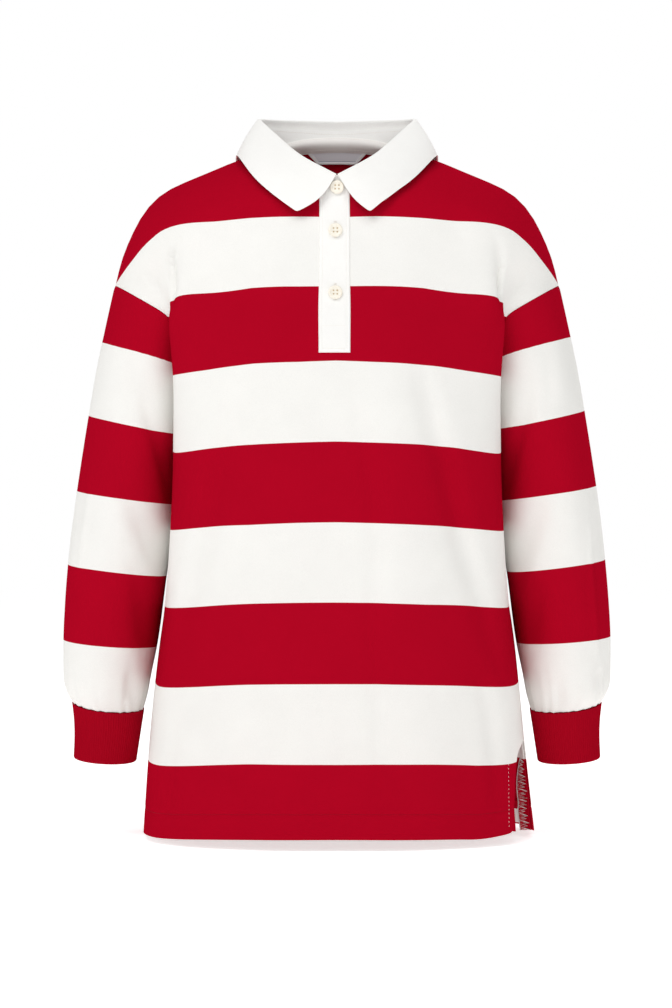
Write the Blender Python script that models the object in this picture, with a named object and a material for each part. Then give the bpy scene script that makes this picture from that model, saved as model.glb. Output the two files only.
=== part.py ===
"""A long-sleeved, wide-striped rugby sweatshirt, filled out as if worn, with nobody inside.

Sizes are in millimetres and are turned into metres when a mesh is made. The frame has +Z up and +X to the
right of someone who looks at the front, and the front faces -Y. The origin is the middle of the neck base,
at the height where a wearer's shoulders carry the garment.

Each piece is a wall: a grid of outer points, worked out from a short table of sections, and inner points one
cloth thickness inside them.
"""

import math

import bmesh
import bpy
import numpy as np

MM = 0.001
SEAM_GAP = 0.3  # between two pieces that a seam joins
ARMHOLE_GAP = 0.9  # measured along the sleeve, which leaves the body at a slant
CLOTH = 1.6  # one layer of heavy jersey
HEM_CLOTH = 3.0  # two layers, at the turned hem
HEM_TURN = 26.0  # height of the turned hem
RIB_CLOTH = 2.0
COLLAR_CLOTH = 2.2
STRIP_CLOTH = 1.0  # neck tape and label
PLACKET_CLOTH = 1.8

# Distances down the front and back along the cloth, where something changes.
SHOULDER_POINT = 57.0
UNDERARM = 277.0
SLIT_TOP = 604.0
HEM = 700.0

# Sections of the front, from the neckline down. z, y: the centre line. fold_x, fold_y, fold_z: where the
# front turns to the side. late: how late the section curves back. bulge: how far the cloth between the fold
# and the edge stands out, as a share of their distance, or in where it is negative.
PANEL_COLUMNS = ("down", "z", "y", "fold_x", "fold_y", "fold_z", "late", "bulge")
FRONT_SECTIONS = (
    (0.0, -29.0, -80.0, 58.0, -55.0, -13.0, 2.2, 0.07),
    (14.0, -38.5, -81.5, 92.0, -53.0, -25.0, 2.2, 0.09),
    (28.0, -48.0, -83.5, 128.0, -57.0, -43.0, 2.3, 0.10),
    (42.0, -57.5, -85.5, 156.0, -60.0, -60.0, 2.4, 0.11),
    (57.0, -67.0, -88.0, 175.0, -60.0, -76.0, 2.6, 0.10),
    (100.0, -106.5, -96.0, 174.0, -63.0, -114.0, 2.8, -0.03),
    (129.0, -133.0, -102.0, 173.0, -64.0, -140.0, 2.9, -0.16),
    (153.0, -155.0, -108.0, 172.0, -64.0, -163.0, 3.0, -0.25),
    (180.0, -180.0, -117.0, 171.0, -62.0, -188.0, 3.1, -0.13),
    (224.0, -221.0, -127.0, 169.0, -56.0, -231.0, 3.2, -0.02),
    (277.0, -275.0, -131.0, 169.0, -50.0, -284.0, 3.3, 0.01),
    (330.0, -328.0, -132.0, 170.0, -47.0, -337.0, 3.3, 0.02),
    (400.0, -398.0, -131.0, 173.0, -45.0, -406.0, 3.2, 0.02),
    (480.0, -478.0, -130.0, 176.0, -48.0, -486.0, 3.1, 0.03),
    (543.0, -541.0, -130.0, 179.0, -54.0, -548.0, 3.0, 0.05),
    (624.0, -623.0, -131.0, 182.0, -60.0, -630.0, 3.0, 0.07),
    (700.0, -698.5, -132.0, 184.0, -66.0, -704.0, 3.0, 0.09),
)
BACK_SECTIONS = (
    (0.0, 24.0, 68.0, 56.0, 53.0, 17.0, 2.3, 0.10),
    (14.0, 4.0, 77.0, 92.0, 57.0, -7.0, 2.3, 0.10),
    (28.0, -15.0, 85.0, 128.0, 62.0, -27.0, 2.4, 0.11),
    (42.0, -34.0, 93.0, 157.0, 68.0, -52.0, 2.5, 0.13),
    (57.0, -53.0, 99.0, 173.0, 74.0, -78.0, 2.6, 0.13),
    (100.0, -95.0, 108.0, 178.0, 80.0, -113.0, 2.8, 0.07),
    (129.0, -124.0, 113.0, 178.0, 85.0, -140.0, 2.9, 0.02),
    (153.0, -148.0, 116.0, 177.0, 90.0, -162.0, 3.0, -0.02),
    (180.0, -175.0, 119.0, 176.0, 95.0, -188.0, 3.1, -0.05),
    (224.0, -219.0, 122.0, 175.0, 98.0, -230.0, 3.2, 0.0),
    (277.0, -273.0, 124.0, 173.0, 98.0, -283.0, 3.3, 0.01),
    (330.0, -327.0, 126.0, 172.0, 96.0, -336.0, 3.3, 0.01),
    (400.0, -397.0, 127.0, 173.0, 92.0, -406.0, 3.2, 0.02),
    (480.0, -477.0, 128.0, 176.0, 90.0, -486.0, 3.1, 0.03),
    (543.0, -540.0, 129.0, 179.0, 91.0, -548.0, 3.0, 0.05),
    (624.0, -622.0, 131.0, 184.0, 93.0, -630.0, 3.0, 0.08),
    (700.0, -700.0, 133.0, 188.0, 96.0, -706.0, 3.0, 0.10),
)

# Where a panel meets its neighbours: the shoulder seam from the neck to the shoulder point, the armhole from
# there to the underarm, and the side seam down to the hem. Written for the +X side.
SEAM_COLUMNS = ("down", "x", "y", "z")
SHOULDER_SEAM = (
    (0.0, 88.0, 4.0, 6.0),
    (7.0, 113.0, 5.0, -2.5),
    (14.0, 138.0, 6.0, -12.7),
    (21.0, 164.0, 6.5, -23.5),
    (28.0, 186.5, 7.0, -36.0),
    (35.0, 204.5, 7.5, -55.5),
    (42.0, 217.5, 8.0, -79.5),
    (49.5, 227.5, 8.5, -105.0),
    (57.0, 234.0, 9.0, -131.0),
)
ARMHOLE_FRONT = (
    (57.0, 234.0, 9.0, -131.0),
    (100.0, 215.0, -28.0, -142.0),
    (129.0, 193.0, -43.0, -155.0),
    (153.0, 174.0, -48.0, -169.0),
    (180.0, 164.0, -40.0, -192.0),
    (224.0, 157.0, -12.0, -228.0),
    (277.0, 151.5, 23.0, -264.0),
)
ARMHOLE_BACK = (
    (57.0, 234.0, 9.0, -131.0),
    (100.0, 218.0, 50.0, -143.0),
    (129.0, 199.0, 72.0, -156.0),
    (153.0, 183.0, 83.0, -171.0),
    (180.0, 171.0, 78.0, -194.0),
    (224.0, 160.0, 57.0, -229.0),
    (277.0, 151.5, 23.0, -264.0),
)
# The lower edge is turned a little on the figure, so the two side seams differ in depth.
SIDE_SEAM_LEFT = (
    (277.0, 151.5, 23.0, -264.0),
    (330.0, 155.0, 25.0, -322.0),
    (400.0, 168.0, 27.0, -402.0),
    (480.0, 184.0, 29.0, -483.0),
    (543.0, 192.0, 31.0, -546.0),
    (624.0, 199.0, 33.0, -628.0),
    (700.0, 204.0, 35.0, -704.0),
)
SIDE_SEAM_RIGHT = (
    (277.0, 151.5, 23.0, -264.0),
    (330.0, 155.0, 23.0, -322.0),
    (400.0, 168.0, 21.0, -402.0),
    (480.0, 184.0, 15.0, -483.0),
    (543.0, 191.0, 6.0, -546.0),
    (624.0, 198.0, -8.0, -628.0),
    (700.0, 202.0, -20.0, -703.0),
)
# How far a slit's edge has moved from the seam line at the hem, outwards (+X) and in depth.
SLIT_OPEN = {
    ("front", "left"): (-2.0, -8.0),
    ("back", "left"): (0.0, 10.0),
    ("front", "right"): (-19.0, -22.0),
    ("back", "right"): (5.0, 14.0),
}

# Sections of a sleeve, written for +X. v: distance along it. outer_x, outer_z, inner_x, inner_z: its two
# silhouette points from the front. y: its middle. front, back: its half depths. drop: how much lower its
# front is than its back. gather: depth of the gathers. Its first section is the armhole.
TUBE_COLUMNS = ("v", "outer_x", "outer_z", "inner_x", "inner_z", "y", "front", "back", "drop", "gather")
SLEEVE_SECTIONS = (
    (66.0, 249.5, -197.0, 160.0, -287.0, 20.0, 68.0, 66.0, 6.0, 0.0),
    (130.0, 261.5, -262.0, 163.0, -313.0, 21.0, 68.0, 68.0, 9.0, 0.0),
    (208.0, 274.5, -345.0, 170.0, -374.0, 22.0, 65.0, 66.0, 10.0, 0.0),
    (286.0, 283.5, -420.0, 180.5, -440.0, 22.0, 60.0, 61.0, 9.0, 0.0),
    (362.0, 289.0, -501.0, 190.5, -513.0, 20.0, 53.0, 55.0, 8.0, 0.3),
    (400.0, 289.5, -537.0, 197.0, -546.0, 18.0, 48.0, 50.0, 7.0, 1.2),
    (420.0, 286.5, -557.5, 200.5, -565.0, 17.0, 43.0, 44.0, 6.0, 2.0),
    (431.0, 279.0, -569.5, 204.0, -577.0, 17.0, 37.0, 37.0, 5.0, 1.2),
)
CUFF_SECTIONS = (
    (0.0, 279.0, -569.9, 204.0, -577.4, 17.0, 37.0, 37.0, 5.0, 0.0),
    (16.0, 277.0, -587.0, 206.5, -594.0, 15.5, 34.5, 34.5, 5.0, 0.0),
    (57.0, 277.0, -627.5, 212.0, -631.5, 12.0, 32.0, 32.0, 3.0, 0.0),
)
GATHERS = 9
CUFF_RIBS = 44
RIB_RISE = 0.6

# Half of the collar, from the centre front round to the centre back: its roll line, the middle of its leaf
# and the leaf's falling edge. turn: share of the way round.
COLLAR_LINES = ("roll", "mid", "fall")
COLLAR_COLUMNS = ("turn",) + tuple(f"{line}_{axis}" for line in COLLAR_LINES for axis in "xyz")
COLLAR_SECTIONS = (
    (0.00, 1.5, -85.0, -24.5, 17.0, -93.5, -48.5, 41.0, -95.5, -63.5),
    (0.12, 17.0, -79.0, -15.0, 35.0, -90.0, -39.0, 54.0, -91.0, -54.0),
    (0.26, 39.0, -62.0, -1.0, 57.0, -78.0, -25.0, 72.0, -79.0, -39.0),
    (0.40, 61.0, -36.0, 19.0, 77.0, -54.0, -4.0, 90.0, -58.0, -19.0),
    (0.52, 79.0, -4.0, 38.0, 93.0, -17.0, 18.0, 103.0, -20.0, 1.5),
    (0.62, 84.0, 20.0, 46.0, 97.0, 20.0, 26.0, 107.0, 20.0, 5.0),
    (0.74, 72.0, 48.0, 49.0, 89.0, 56.0, 24.0, 101.0, 62.0, -3.0),
    (0.87, 41.0, 72.0, 51.0, 51.0, 85.0, 22.0, 58.0, 89.0, -10.0),
    (1.00, 0.0, 80.0, 51.0, 0.0, 93.0, 20.0, 0.0, 97.0, -14.0),
)
STAND_DROP = 3.4  # from the roll line down to the top of the stand, under the folded leaf
STAND_INSET = 2.6
SHOULDER_TURN = 0.53
LEAF_TURNS = np.linspace(0.0, 1.0, 17)
STAND_TURNS = np.linspace(0.16, 1.0, 14)

PLACKET_LEFT = -18.0
PLACKET_RIGHT = 13.0
PLACKET_END = 211.0
BUTTON_RADIUS = 7.2
BUTTON_THICK = 2.8
BUTTON_DOWNS = (13.5, 76.0, 145.0)
LABEL_TOP_WIDTH = 64.0
LABEL_LOW_WIDTH = 42.0
LABEL_DOWNS = (5.4, 14.5)
TAPE_RISE = 7.0
TAPE_FALL = 4.5
TAPE_GAP = 1.0  # between the tape and the curved seam under it

# Shares across a panel of its edge, side, fold, two front points and middle, and of the grid between them.
ACROSS = np.array([0.0, 0.075, 0.155, 0.255, 0.38, 0.5, 0.62, 0.745, 0.845, 0.925, 1.0])
GRID_ACROSS = np.interp(np.linspace(0.0, 10.0, 23), range(11), ACROSS)
SHOULDER_SPANS = 8
ARMHOLE_SPANS = 13
SLEEVE_STOPS = (0.0, 20.0, 42.0, 66.0, 98.0, 130.0, 169.0, 208.0, 286.0, 340.0, 380.0, 404.0, 420.0, 431.0)
GRID_DOWN = np.concatenate(
    [
        np.linspace(0.0, SHOULDER_POINT, SHOULDER_SPANS + 1)[:-1],
        np.linspace(SHOULDER_POINT, UNDERARM, ARMHOLE_SPANS + 1)[:-1],
        np.linspace(UNDERARM, HEM - HEM_TURN, 12),
        [HEM - HEM_TURN + 2.5, HEM],
    ]
)


def spline(knots, values, at):
    """A natural cubic spline through the values at the knots, read at the places asked for."""
    knots, values = np.asarray(knots, float), np.asarray(values, float)
    at = np.clip(np.asarray(at, float), knots[0], knots[-1])
    step = np.diff(knots)
    slope = np.diff(values, axis=0) / step[:, None]
    count = len(knots)
    system, right = np.eye(count), np.zeros_like(values)
    for i in range(1, count - 1):
        system[i, i - 1 : i + 2] = step[i - 1], 2 * (step[i - 1] + step[i]), step[i]
        right[i] = 6 * (slope[i] - slope[i - 1])
    bend = np.linalg.solve(system, right)
    i = np.clip(np.searchsorted(knots, at) - 1, 0, count - 2)
    h = step[i][..., None]
    a = (knots[i + 1] - at)[..., None] / h
    b = 1 - a
    return a * values[i] + b * values[i + 1] + ((a**3 - a) * bend[i] + (b**3 - b) * bend[i + 1]) * h**2 / 6


def read_table(rows, columns, at):
    """The named columns of a table, smoothly between its rows, at one value of its first column."""
    table = np.array(rows)
    return dict(zip(columns, spline(table[:, 0], table, at)))


def unit(vectors):
    """Vectors scaled to length one."""
    return vectors / np.linalg.norm(vectors, axis=-1, keepdims=True)


def seam_point(panel, side, down):
    """A point of a panel's edge, for +X, at this distance down."""
    armhole = ARMHOLE_FRONT if panel == "front" else ARMHOLE_BACK
    side_seam = SIDE_SEAM_LEFT if side == "left" else SIDE_SEAM_RIGHT
    rows = next((rows for rows in (SHOULDER_SEAM, armhole) if down <= rows[-1][0]), side_seam)
    here = read_table(rows, SEAM_COLUMNS, down)
    share = max(0.0, down - SLIT_TOP) / (HEM - SLIT_TOP)
    out, back = (move * share**1.4 for move in SLIT_OPEN[panel, side])
    return np.array([here["x"] + out, here["y"] + back, here["z"]])


def half_section(panel, side, down):
    """Points for +X at one distance down: centre line, two front points, fold, side, edge."""
    row = read_table(FRONT_SECTIONS if panel == "front" else BACK_SECTIONS, PANEL_COLUMNS, down)
    points = []
    for share in (0.0, 0.38, 0.74, 1.0):
        depth = row["y"] + (row["fold_y"] - row["y"]) * share ** row["late"]
        height = row["z"] + (row["fold_z"] - row["z"]) * share**2.4
        points.append((row["fold_x"] * share, depth, height))
    fold, edge = np.array(points[-1]), seam_point(panel, side, down)
    run = edge - fold
    out = np.array([run[1], -run[0], 0.0]) * (1 if panel == "front" else -1)
    points.append((fold + edge) / 2 + out * row["bulge"])
    points.append(edge)
    return np.array(points)


def panel_row(panel, down, shares, trim=0.0):
    """Points across a panel at one distance down, from its -X edge to its +X edge."""
    right = half_section(panel, "right", down)
    left = half_section(panel, "left", down) * (-1, 1, 1)
    points = np.concatenate([left[::-1], right[1:]])
    along = np.concatenate([[0], np.cumsum(np.linalg.norm(np.diff(points, axis=0), axis=1))])
    at = np.clip(np.interp(shares, ACROSS, along), trim, along[-1] - trim)
    return spline(along, points, at)


def panel_grid(panel, downs, shares, trim=0.0):
    """Points of a panel's outer face, a row for each distance down."""
    return np.array([panel_row(panel, down, shares, trim) for down in downs])


def outward(points, middle, closed=False):
    """The outward direction at each point of a grid round a middle line (x, y)."""
    if closed:
        points = np.concatenate([points[:, -2:-1], points, points[:, 1:2]], axis=1)
    normals = np.cross(np.gradient(points, axis=0), np.gradient(points, axis=1))
    away = points[..., :2] - np.array(middle)
    if np.sum(normals[..., :2] * away) < 0:
        normals = -normals
    return unit(normals[:, 1:-1] if closed else normals)


def across_run(vectors, line):
    """Vectors made square to a line of points, and of length one."""
    run = unit(np.gradient(line, axis=0))
    return unit(vectors - run * np.sum(run * vectors, axis=1, keepdims=True))


def new_material(name, colour, roughness):
    """A plain material for a sub-part."""
    material = bpy.data.materials.new(name)
    material.use_nodes = True
    shader = material.node_tree.nodes["Principled BSDF"]
    shader.inputs["Base Color"].default_value = (*colour, 1.0)
    shader.inputs["Roughness"].default_value = roughness
    shader.inputs["Metallic"].default_value = 0.0
    return material


def wall(name, outer, inner, material, closed=False):
    """A closed cloth wall between two grids of points, which have the same rows and columns."""
    rows, columns = outer.shape[:2]
    bm = bmesh.new()
    bmesh.ops.create_grid(bm, x_segments=columns - 1, y_segments=rows - 1, size=1.0)
    place = bm.verts.layers.int.new("place")
    for index, vert in enumerate(bm.verts):
        vert[place] = index
        vert.co = outer.reshape(-1, 3)[index] * MM
    if closed:
        bmesh.ops.remove_doubles(bm, verts=bm.verts, dist=1e-6)
    made = bmesh.ops.extrude_face_region(bm, geom=bm.faces[:])["geom"]
    for vert in made:
        if isinstance(vert, bmesh.types.BMVert):
            vert.co = inner.reshape(-1, 3)[vert[place]] * MM
    bmesh.ops.recalc_face_normals(bm, faces=bm.faces)
    mesh = bpy.data.meshes.new(name)
    bm.to_mesh(mesh)
    bm.free()
    mesh.materials.append(material)
    mesh.shade_smooth()
    mesh.set_sharp_from_angle(angle=math.radians(50))
    piece = bpy.data.objects.new(name, mesh)
    bpy.context.scene.collection.objects.link(piece)
    return piece


def tube_ring(row, turns):
    """Points round one section of a sleeve or cuff. turn runs from the outer side through the front."""
    angle = 2 * math.pi * turns
    half_x, half_z = (row["outer_x"] - row["inner_x"]) / 2, (row["outer_z"] - row["inner_z"]) / 2
    depth = np.where(np.sin(angle) > 0, row["front"], row["back"])
    wave = 1 + row["gather"] * np.cos(GATHERS * angle) / half_x
    return np.stack(
        [
            (row["outer_x"] + row["inner_x"]) / 2 + half_x * np.cos(angle) * wave,
            row["y"] - depth * np.sin(angle) * wave,
            (row["outer_z"] + row["inner_z"]) / 2 + half_z * np.cos(angle) - row["drop"] * np.sin(angle),
        ],
        axis=-1,
    )


def sleeve_grid(side):
    """Points of a sleeve's outer face, for +X, a row for each ring from the armhole to the cuff."""
    turns = np.linspace(0.0, 1.0, 2 * ARMHOLE_SPANS + 1)
    downs = np.linspace(SHOULDER_POINT, UNDERARM, ARMHOLE_SPANS + 1)
    front = [seam_point("front", side, down) for down in downs]
    back = [seam_point("back", side, down) for down in downs[-2::-1]]
    rings = [np.array(front + back)]
    rings += [tube_ring(dict(zip(TUBE_COLUMNS, row)), turns) for row in SLEEVE_SECTIONS]
    knots = [0.0] + [row[0] for row in SLEEVE_SECTIONS]
    flat = spline(knots, np.array(rings).reshape(len(rings), -1), np.array(SLEEVE_STOPS))
    points = flat.reshape(len(SLEEVE_STOPS), len(turns), 3)
    points[0] += unit(points[1] - points[0]) * ARMHOLE_GAP
    return points


class Shell:
    """The outer faces of the body and sleeves, with the directions of their thickness.

    Pieces that a seam joins share one direction along it, halfway between their own, so their walls stay apart.
    """

    def __init__(self):
        downs = GRID_DOWN.copy()
        downs[0] = SEAM_GAP
        self.outer = {name: panel_grid(name, downs, GRID_ACROSS, SEAM_GAP) for name in ("front", "back")}
        self.out = {name: outward(grid, (0.0, 0.0)) for name, grid in self.outer.items()}
        self.sleeve = {}
        self.sleeve_out = {}
        for side, column in (("left", 0), ("right", -1)):
            self.join(side, column, -1 if side == "left" else 1)

    def join(self, side, column, sign):
        """Makes the directions along one side's seams the same for the front, the back and the sleeve."""
        sleeve = sleeve_grid(side) * (sign, 1, 1)
        sleeve_out = outward(sleeve, (sign * 215.0, 20.0), closed=True)
        both = unit(self.out["front"][:, column] + self.out["back"][:, column])
        seam = {name: both.copy() for name in self.outer}
        first = SHOULDER_SPANS
        last = first + ARMHOLE_SPANS
        ring = {"front": sleeve_out[0, : ARMHOLE_SPANS + 1], "back": sleeve_out[0, : ARMHOLE_SPANS - 1 : -1]}
        for name, directions in seam.items():
            own = self.out[name][first : last + 1, column]
            directions[first : last + 1] = unit(own + ring[name])
            directions[:] = across_run(directions, self.outer[name][:, column])
        for row, turn in ((first, 0), (last, ARMHOLE_SPANS)):
            seam["front"][row] = seam["back"][row] = unit(both[row] + sleeve_out[0, turn])
        for name, directions in seam.items():
            self.out[name][:, column] = directions
        front, back = seam["front"][first : last + 1], seam["back"][first : last + 1]
        sleeve_out[0] = np.concatenate([front, back[-2::-1]])
        self.sleeve[side], self.sleeve_out[side] = sleeve, sleeve_out


def body_panel(shell, panel, material):
    """The front or the back, with a turned hem."""
    thickness = np.where(GRID_DOWN > HEM - HEM_TURN + 1, HEM_CLOTH, CLOTH)[:, None, None]
    outer = shell.outer[panel]
    return wall(f"{panel}_panel", outer, outer - shell.out[panel] * thickness, material)


def sleeve(shell, side, material):
    """A sleeve: a tube from the armhole to the gathered edge above the cuff."""
    outer = shell.sleeve[side]
    return wall(f"sleeve_{side}", outer, outer - shell.sleeve_out[side] * CLOTH, material, closed=True)


def cuff(side, material):
    """A ribbed cuff: the ribs stand on the outside of a plain tube."""
    sign = -1 if side == "left" else 1
    turns = np.linspace(0.0, 1.0, 2 * CUFF_RIBS + 1)
    plain = np.array([tube_ring(dict(zip(TUBE_COLUMNS, row)), turns) for row in CUFF_SECTIONS])
    direction = outward(plain, (243.0, 15.0), closed=True)
    rib = (np.arange(len(turns)) % 2 == 0)[None, :, None] * RIB_RISE
    outer, inner = plain + direction * rib, plain - direction * RIB_CLOTH
    return wall(f"cuff_{side}", outer * (sign, 1, 1), inner * (sign, 1, 1), material, closed=True)


def round_turns(half):
    """Signed turns from the collar's -X front end, round the back, to its +X front end."""
    return np.concatenate([-half, half[-2::-1]])


def collar_points(turns, *names):
    """Points of the collar's named lines, a column for each signed turn."""
    grid = []
    for turn in turns:
        row = read_table(COLLAR_SECTIONS, COLLAR_COLUMNS, abs(turn))
        side = math.copysign(1, turn)
        grid.append([(row[name + "_x"] * side, row[name + "_y"], row[name + "_z"]) for name in names])
    return np.array(grid).swapaxes(0, 1)


def neck_points(turns, down=0.0):
    """Points of the panels' neck edge, or a little below it, a column for each signed turn."""
    line = []
    for turn in turns:
        side, turn = math.copysign(1, turn), abs(turn)
        if turn <= SHOULDER_TURN:
            panel, share = "front", 0.5 * turn / SHOULDER_TURN
        else:
            panel, share = "back", 0.5 * (1 - turn) / (1 - SHOULDER_TURN)
        line.append(panel_row(panel, down, np.array([0.5 + side * share]))[0])
    return np.array(line)


def collar_leaf(material):
    """The collar's leaf, folded outwards at the roll line."""
    turns = round_turns(LEAF_TURNS)
    lines = collar_points(turns, *COLLAR_LINES)
    flat = spline([0.0, 0.5, 1.0], lines.reshape(3, -1), np.array([0.0, 0.1, 0.3, 0.55, 0.8, 1.0]))
    outer = flat.reshape(-1, len(turns), 3)
    inner = outer - outward(outer, (0.0, 10.0)) * COLLAR_CLOTH
    return wall("collar_leaf", outer, inner, material)


def stand_lines(turns):
    """The collar stand's outer face, top row first, and its outward directions."""
    (roll,) = collar_points(turns, "roll")
    out = unit((roll - (0.0, 10.0, 0.0)) * (1, 1, 0))
    top = roll - out * STAND_INSET - (0.0, 0.0, STAND_DROP)
    low = neck_points(turns)
    low = low + unit(top - low) * SEAM_GAP
    outer = np.array([top, (top + low) / 2, low])
    return outer, outward(outer, (0.0, 0.0))


def collar_stand(material):
    """The collar stand, from the neck seam up to the fold of the leaf. It tapers out near the front."""
    outer, direction = stand_lines(round_turns(STAND_TURNS))
    return wall("collar_stand", outer, outer - direction * COLLAR_CLOTH, material)


def neck_tape(material):
    """The strip over the inside of the back neck seam."""
    turns = round_turns(STAND_TURNS[7:])
    (top, _, low), (_, _, stand_out) = stand_lines(turns)
    shares = 0.5 + np.sign(turns) * 0.5 * (1 - abs(turns)) / (1 - SHOULDER_TURN)
    (panel_low,), (panel_in,) = on_panel("back", [TAPE_FALL], [shares], 0.0, -1.0)
    panel_in = panel_in - panel_low
    upper = low + unit(top - low) * TAPE_RISE - stand_out * (COLLAR_CLOTH + TAPE_GAP)
    middle = low + unit(panel_in - stand_out) * (COLLAR_CLOTH + 2 * TAPE_GAP)
    lower = panel_low + panel_in * (CLOTH + TAPE_GAP)
    near = np.array([upper, middle, lower])
    inward = np.array([-stand_out, unit(panel_in - stand_out), panel_in])
    return wall("neck_tape", near, near + inward * STRIP_CLOTH, material)


def panel_share(panel, down, xs):
    """The shares across a panel at which it has these x."""
    shares = np.linspace(0.255, 0.745, 99)
    return np.interp(xs, panel_row(panel, down, shares)[:, 0], shares)


def on_panel(panel, downs, shares, lift, thick):
    """Two grids over a panel, lift and lift + thick out from its outer face (or in, if negative)."""
    near, far = [], []
    for down, row in zip(downs, shares):
        points = panel_row(panel, down, row)
        below = panel_row(panel, down + 1.0, row) - points
        beside = panel_row(panel, down, row + 0.002) - points
        normal = unit(np.cross(below, beside)) * (1 if panel == "front" else -1)
        near.append(points + normal * lift)
        far.append(points + normal * (lift + thick))
    return np.array(near), np.array(far)


def placket(name, lift, left, right, end, material):
    """A placket strip on the front, lift out from its outer face."""
    downs = np.linspace(SEAM_GAP, end, 17)
    shares = [panel_share("front", down, np.linspace(left, right, 5)) for down in downs]
    near, far = on_panel("front", downs, shares, lift, PLACKET_CLOTH)
    return wall(name, far, near, material)


def neck_label(material):
    """A blank woven label inside the back, with its lower corners folded away."""
    downs = np.linspace(*LABEL_DOWNS, 4)
    widths = np.linspace(LABEL_TOP_WIDTH, LABEL_LOW_WIDTH, len(downs))
    spread = np.linspace(-0.5, 0.5, 9)
    shares = [panel_share("back", down, width * spread) for down, width in zip(downs, widths)]
    lift = -CLOTH - 3 * SEAM_GAP
    near, far = on_panel("back", downs, shares, lift, -STRIP_CLOTH)
    return wall("neck_label", near, far, material)


def button(index, down, x, material):
    """A button: a turned disc with a raised rim, seated on the placket."""
    profile = ((0.0, 0.0), (6.0, 0.0), (BUTTON_RADIUS, 0.9), (BUTTON_RADIUS, 1.9), (6.4, BUTTON_THICK))
    profile += ((5.4, BUTTON_THICK), (4.4, 2.0), (0.0, 2.0))
    bm = bmesh.new()
    verts = [bm.verts.new((radius, 0.0, height)) for radius, height in profile]
    edges = [bm.edges.new(pair) for pair in zip(verts, verts[1:])]
    spun = {"geom": verts + edges, "axis": (0, 0, 1), "cent": (0, 0, 0), "angle": 2 * math.pi, "steps": 20}
    bmesh.ops.spin(bm, **spun)
    bmesh.ops.remove_doubles(bm, verts=bm.verts, dist=1e-4)
    share = panel_share("front", down, np.array([x]))
    centre, ahead = on_panel("front", [down], [share], PLACKET_CLOTH + 2 * SEAM_GAP, 1.0)
    centre, ahead = centre[0, 0], ahead[0, 0]
    facing = ahead - centre
    side = unit(np.cross((0.0, 0.0, 1.0), facing))
    turned = np.array([side, np.cross(facing, side), facing]).T
    for vert in bm.verts:
        vert.co = (turned @ np.array(vert.co) + centre) * MM
    bmesh.ops.recalc_face_normals(bm, faces=bm.faces)
    mesh = bpy.data.meshes.new(f"button_{index}")
    bm.to_mesh(mesh)
    bm.free()
    mesh.materials.append(material)
    mesh.shade_smooth()
    mesh.set_sharp_from_angle(angle=math.radians(30))
    piece = bpy.data.objects.new(f"button_{index}", mesh)
    bpy.context.scene.collection.objects.link(piece)
    return piece


def clear_scene():
    """Removes what a new file starts with."""
    for thing in list(bpy.data.objects):
        bpy.data.objects.remove(thing)


def main():
    """Builds every piece of the sweatshirt."""
    clear_scene()
    jersey = new_material("striped jersey", (0.47, 0.006, 0.02), 0.85)
    rib = new_material("red rib", (0.36, 0.006, 0.016), 0.85)
    twill = new_material("white twill", (0.85, 0.83, 0.80), 0.8)
    cream = new_material("cream button", (0.80, 0.74, 0.64), 0.35)
    shell = Shell()
    body_panel(shell, "front", jersey)
    body_panel(shell, "back", jersey)
    for side in ("left", "right"):
        sleeve(shell, side, jersey)
        cuff(side, rib)
    collar_leaf(twill)
    collar_stand(twill)
    neck_tape(twill)
    placket("placket_upper", SEAM_GAP, PLACKET_LEFT, PLACKET_RIGHT, PLACKET_END, twill)
    under_lift = -CLOTH - SEAM_GAP - PLACKET_CLOTH
    placket("placket_under", under_lift, PLACKET_LEFT + 1, PLACKET_RIGHT - 1, PLACKET_END - 3, twill)
    neck_label(twill)
    for index, down in enumerate(BUTTON_DOWNS, 1):
        button(index, down, 0.0 if index == 1 else -1.6, cream)


main()
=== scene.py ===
"""Looks of a wide-striped rugby sweatshirt: its cloth, sewing, buttons, light and camera.

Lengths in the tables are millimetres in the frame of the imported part: +X to the right of someone who looks at
the front, -Y towards them, +Z up. They turn into metres when a mesh is made.
"""

import logging
import math
from collections.abc import Sequence
from dataclasses import dataclass, field
from enum import Enum

import bmesh
import bpy
import numpy as np
from mathutils import Matrix, Vector


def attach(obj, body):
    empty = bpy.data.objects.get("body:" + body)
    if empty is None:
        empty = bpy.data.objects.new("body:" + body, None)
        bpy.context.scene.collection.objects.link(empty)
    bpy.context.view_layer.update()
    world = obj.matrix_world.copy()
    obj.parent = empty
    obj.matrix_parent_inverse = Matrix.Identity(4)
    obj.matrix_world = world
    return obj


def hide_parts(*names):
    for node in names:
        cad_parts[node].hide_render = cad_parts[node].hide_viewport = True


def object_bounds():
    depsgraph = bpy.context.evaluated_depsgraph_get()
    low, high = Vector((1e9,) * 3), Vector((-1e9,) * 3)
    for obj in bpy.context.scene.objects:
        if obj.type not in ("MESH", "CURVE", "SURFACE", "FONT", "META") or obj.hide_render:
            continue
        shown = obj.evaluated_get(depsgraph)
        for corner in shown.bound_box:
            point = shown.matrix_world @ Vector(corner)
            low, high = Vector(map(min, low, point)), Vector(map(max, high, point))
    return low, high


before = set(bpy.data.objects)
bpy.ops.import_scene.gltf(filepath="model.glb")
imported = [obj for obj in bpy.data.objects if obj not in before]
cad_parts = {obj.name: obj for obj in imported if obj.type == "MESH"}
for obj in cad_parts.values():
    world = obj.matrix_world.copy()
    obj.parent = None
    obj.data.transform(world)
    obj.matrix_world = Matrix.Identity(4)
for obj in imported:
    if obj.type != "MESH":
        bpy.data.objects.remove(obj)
CAD_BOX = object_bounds()

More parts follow.
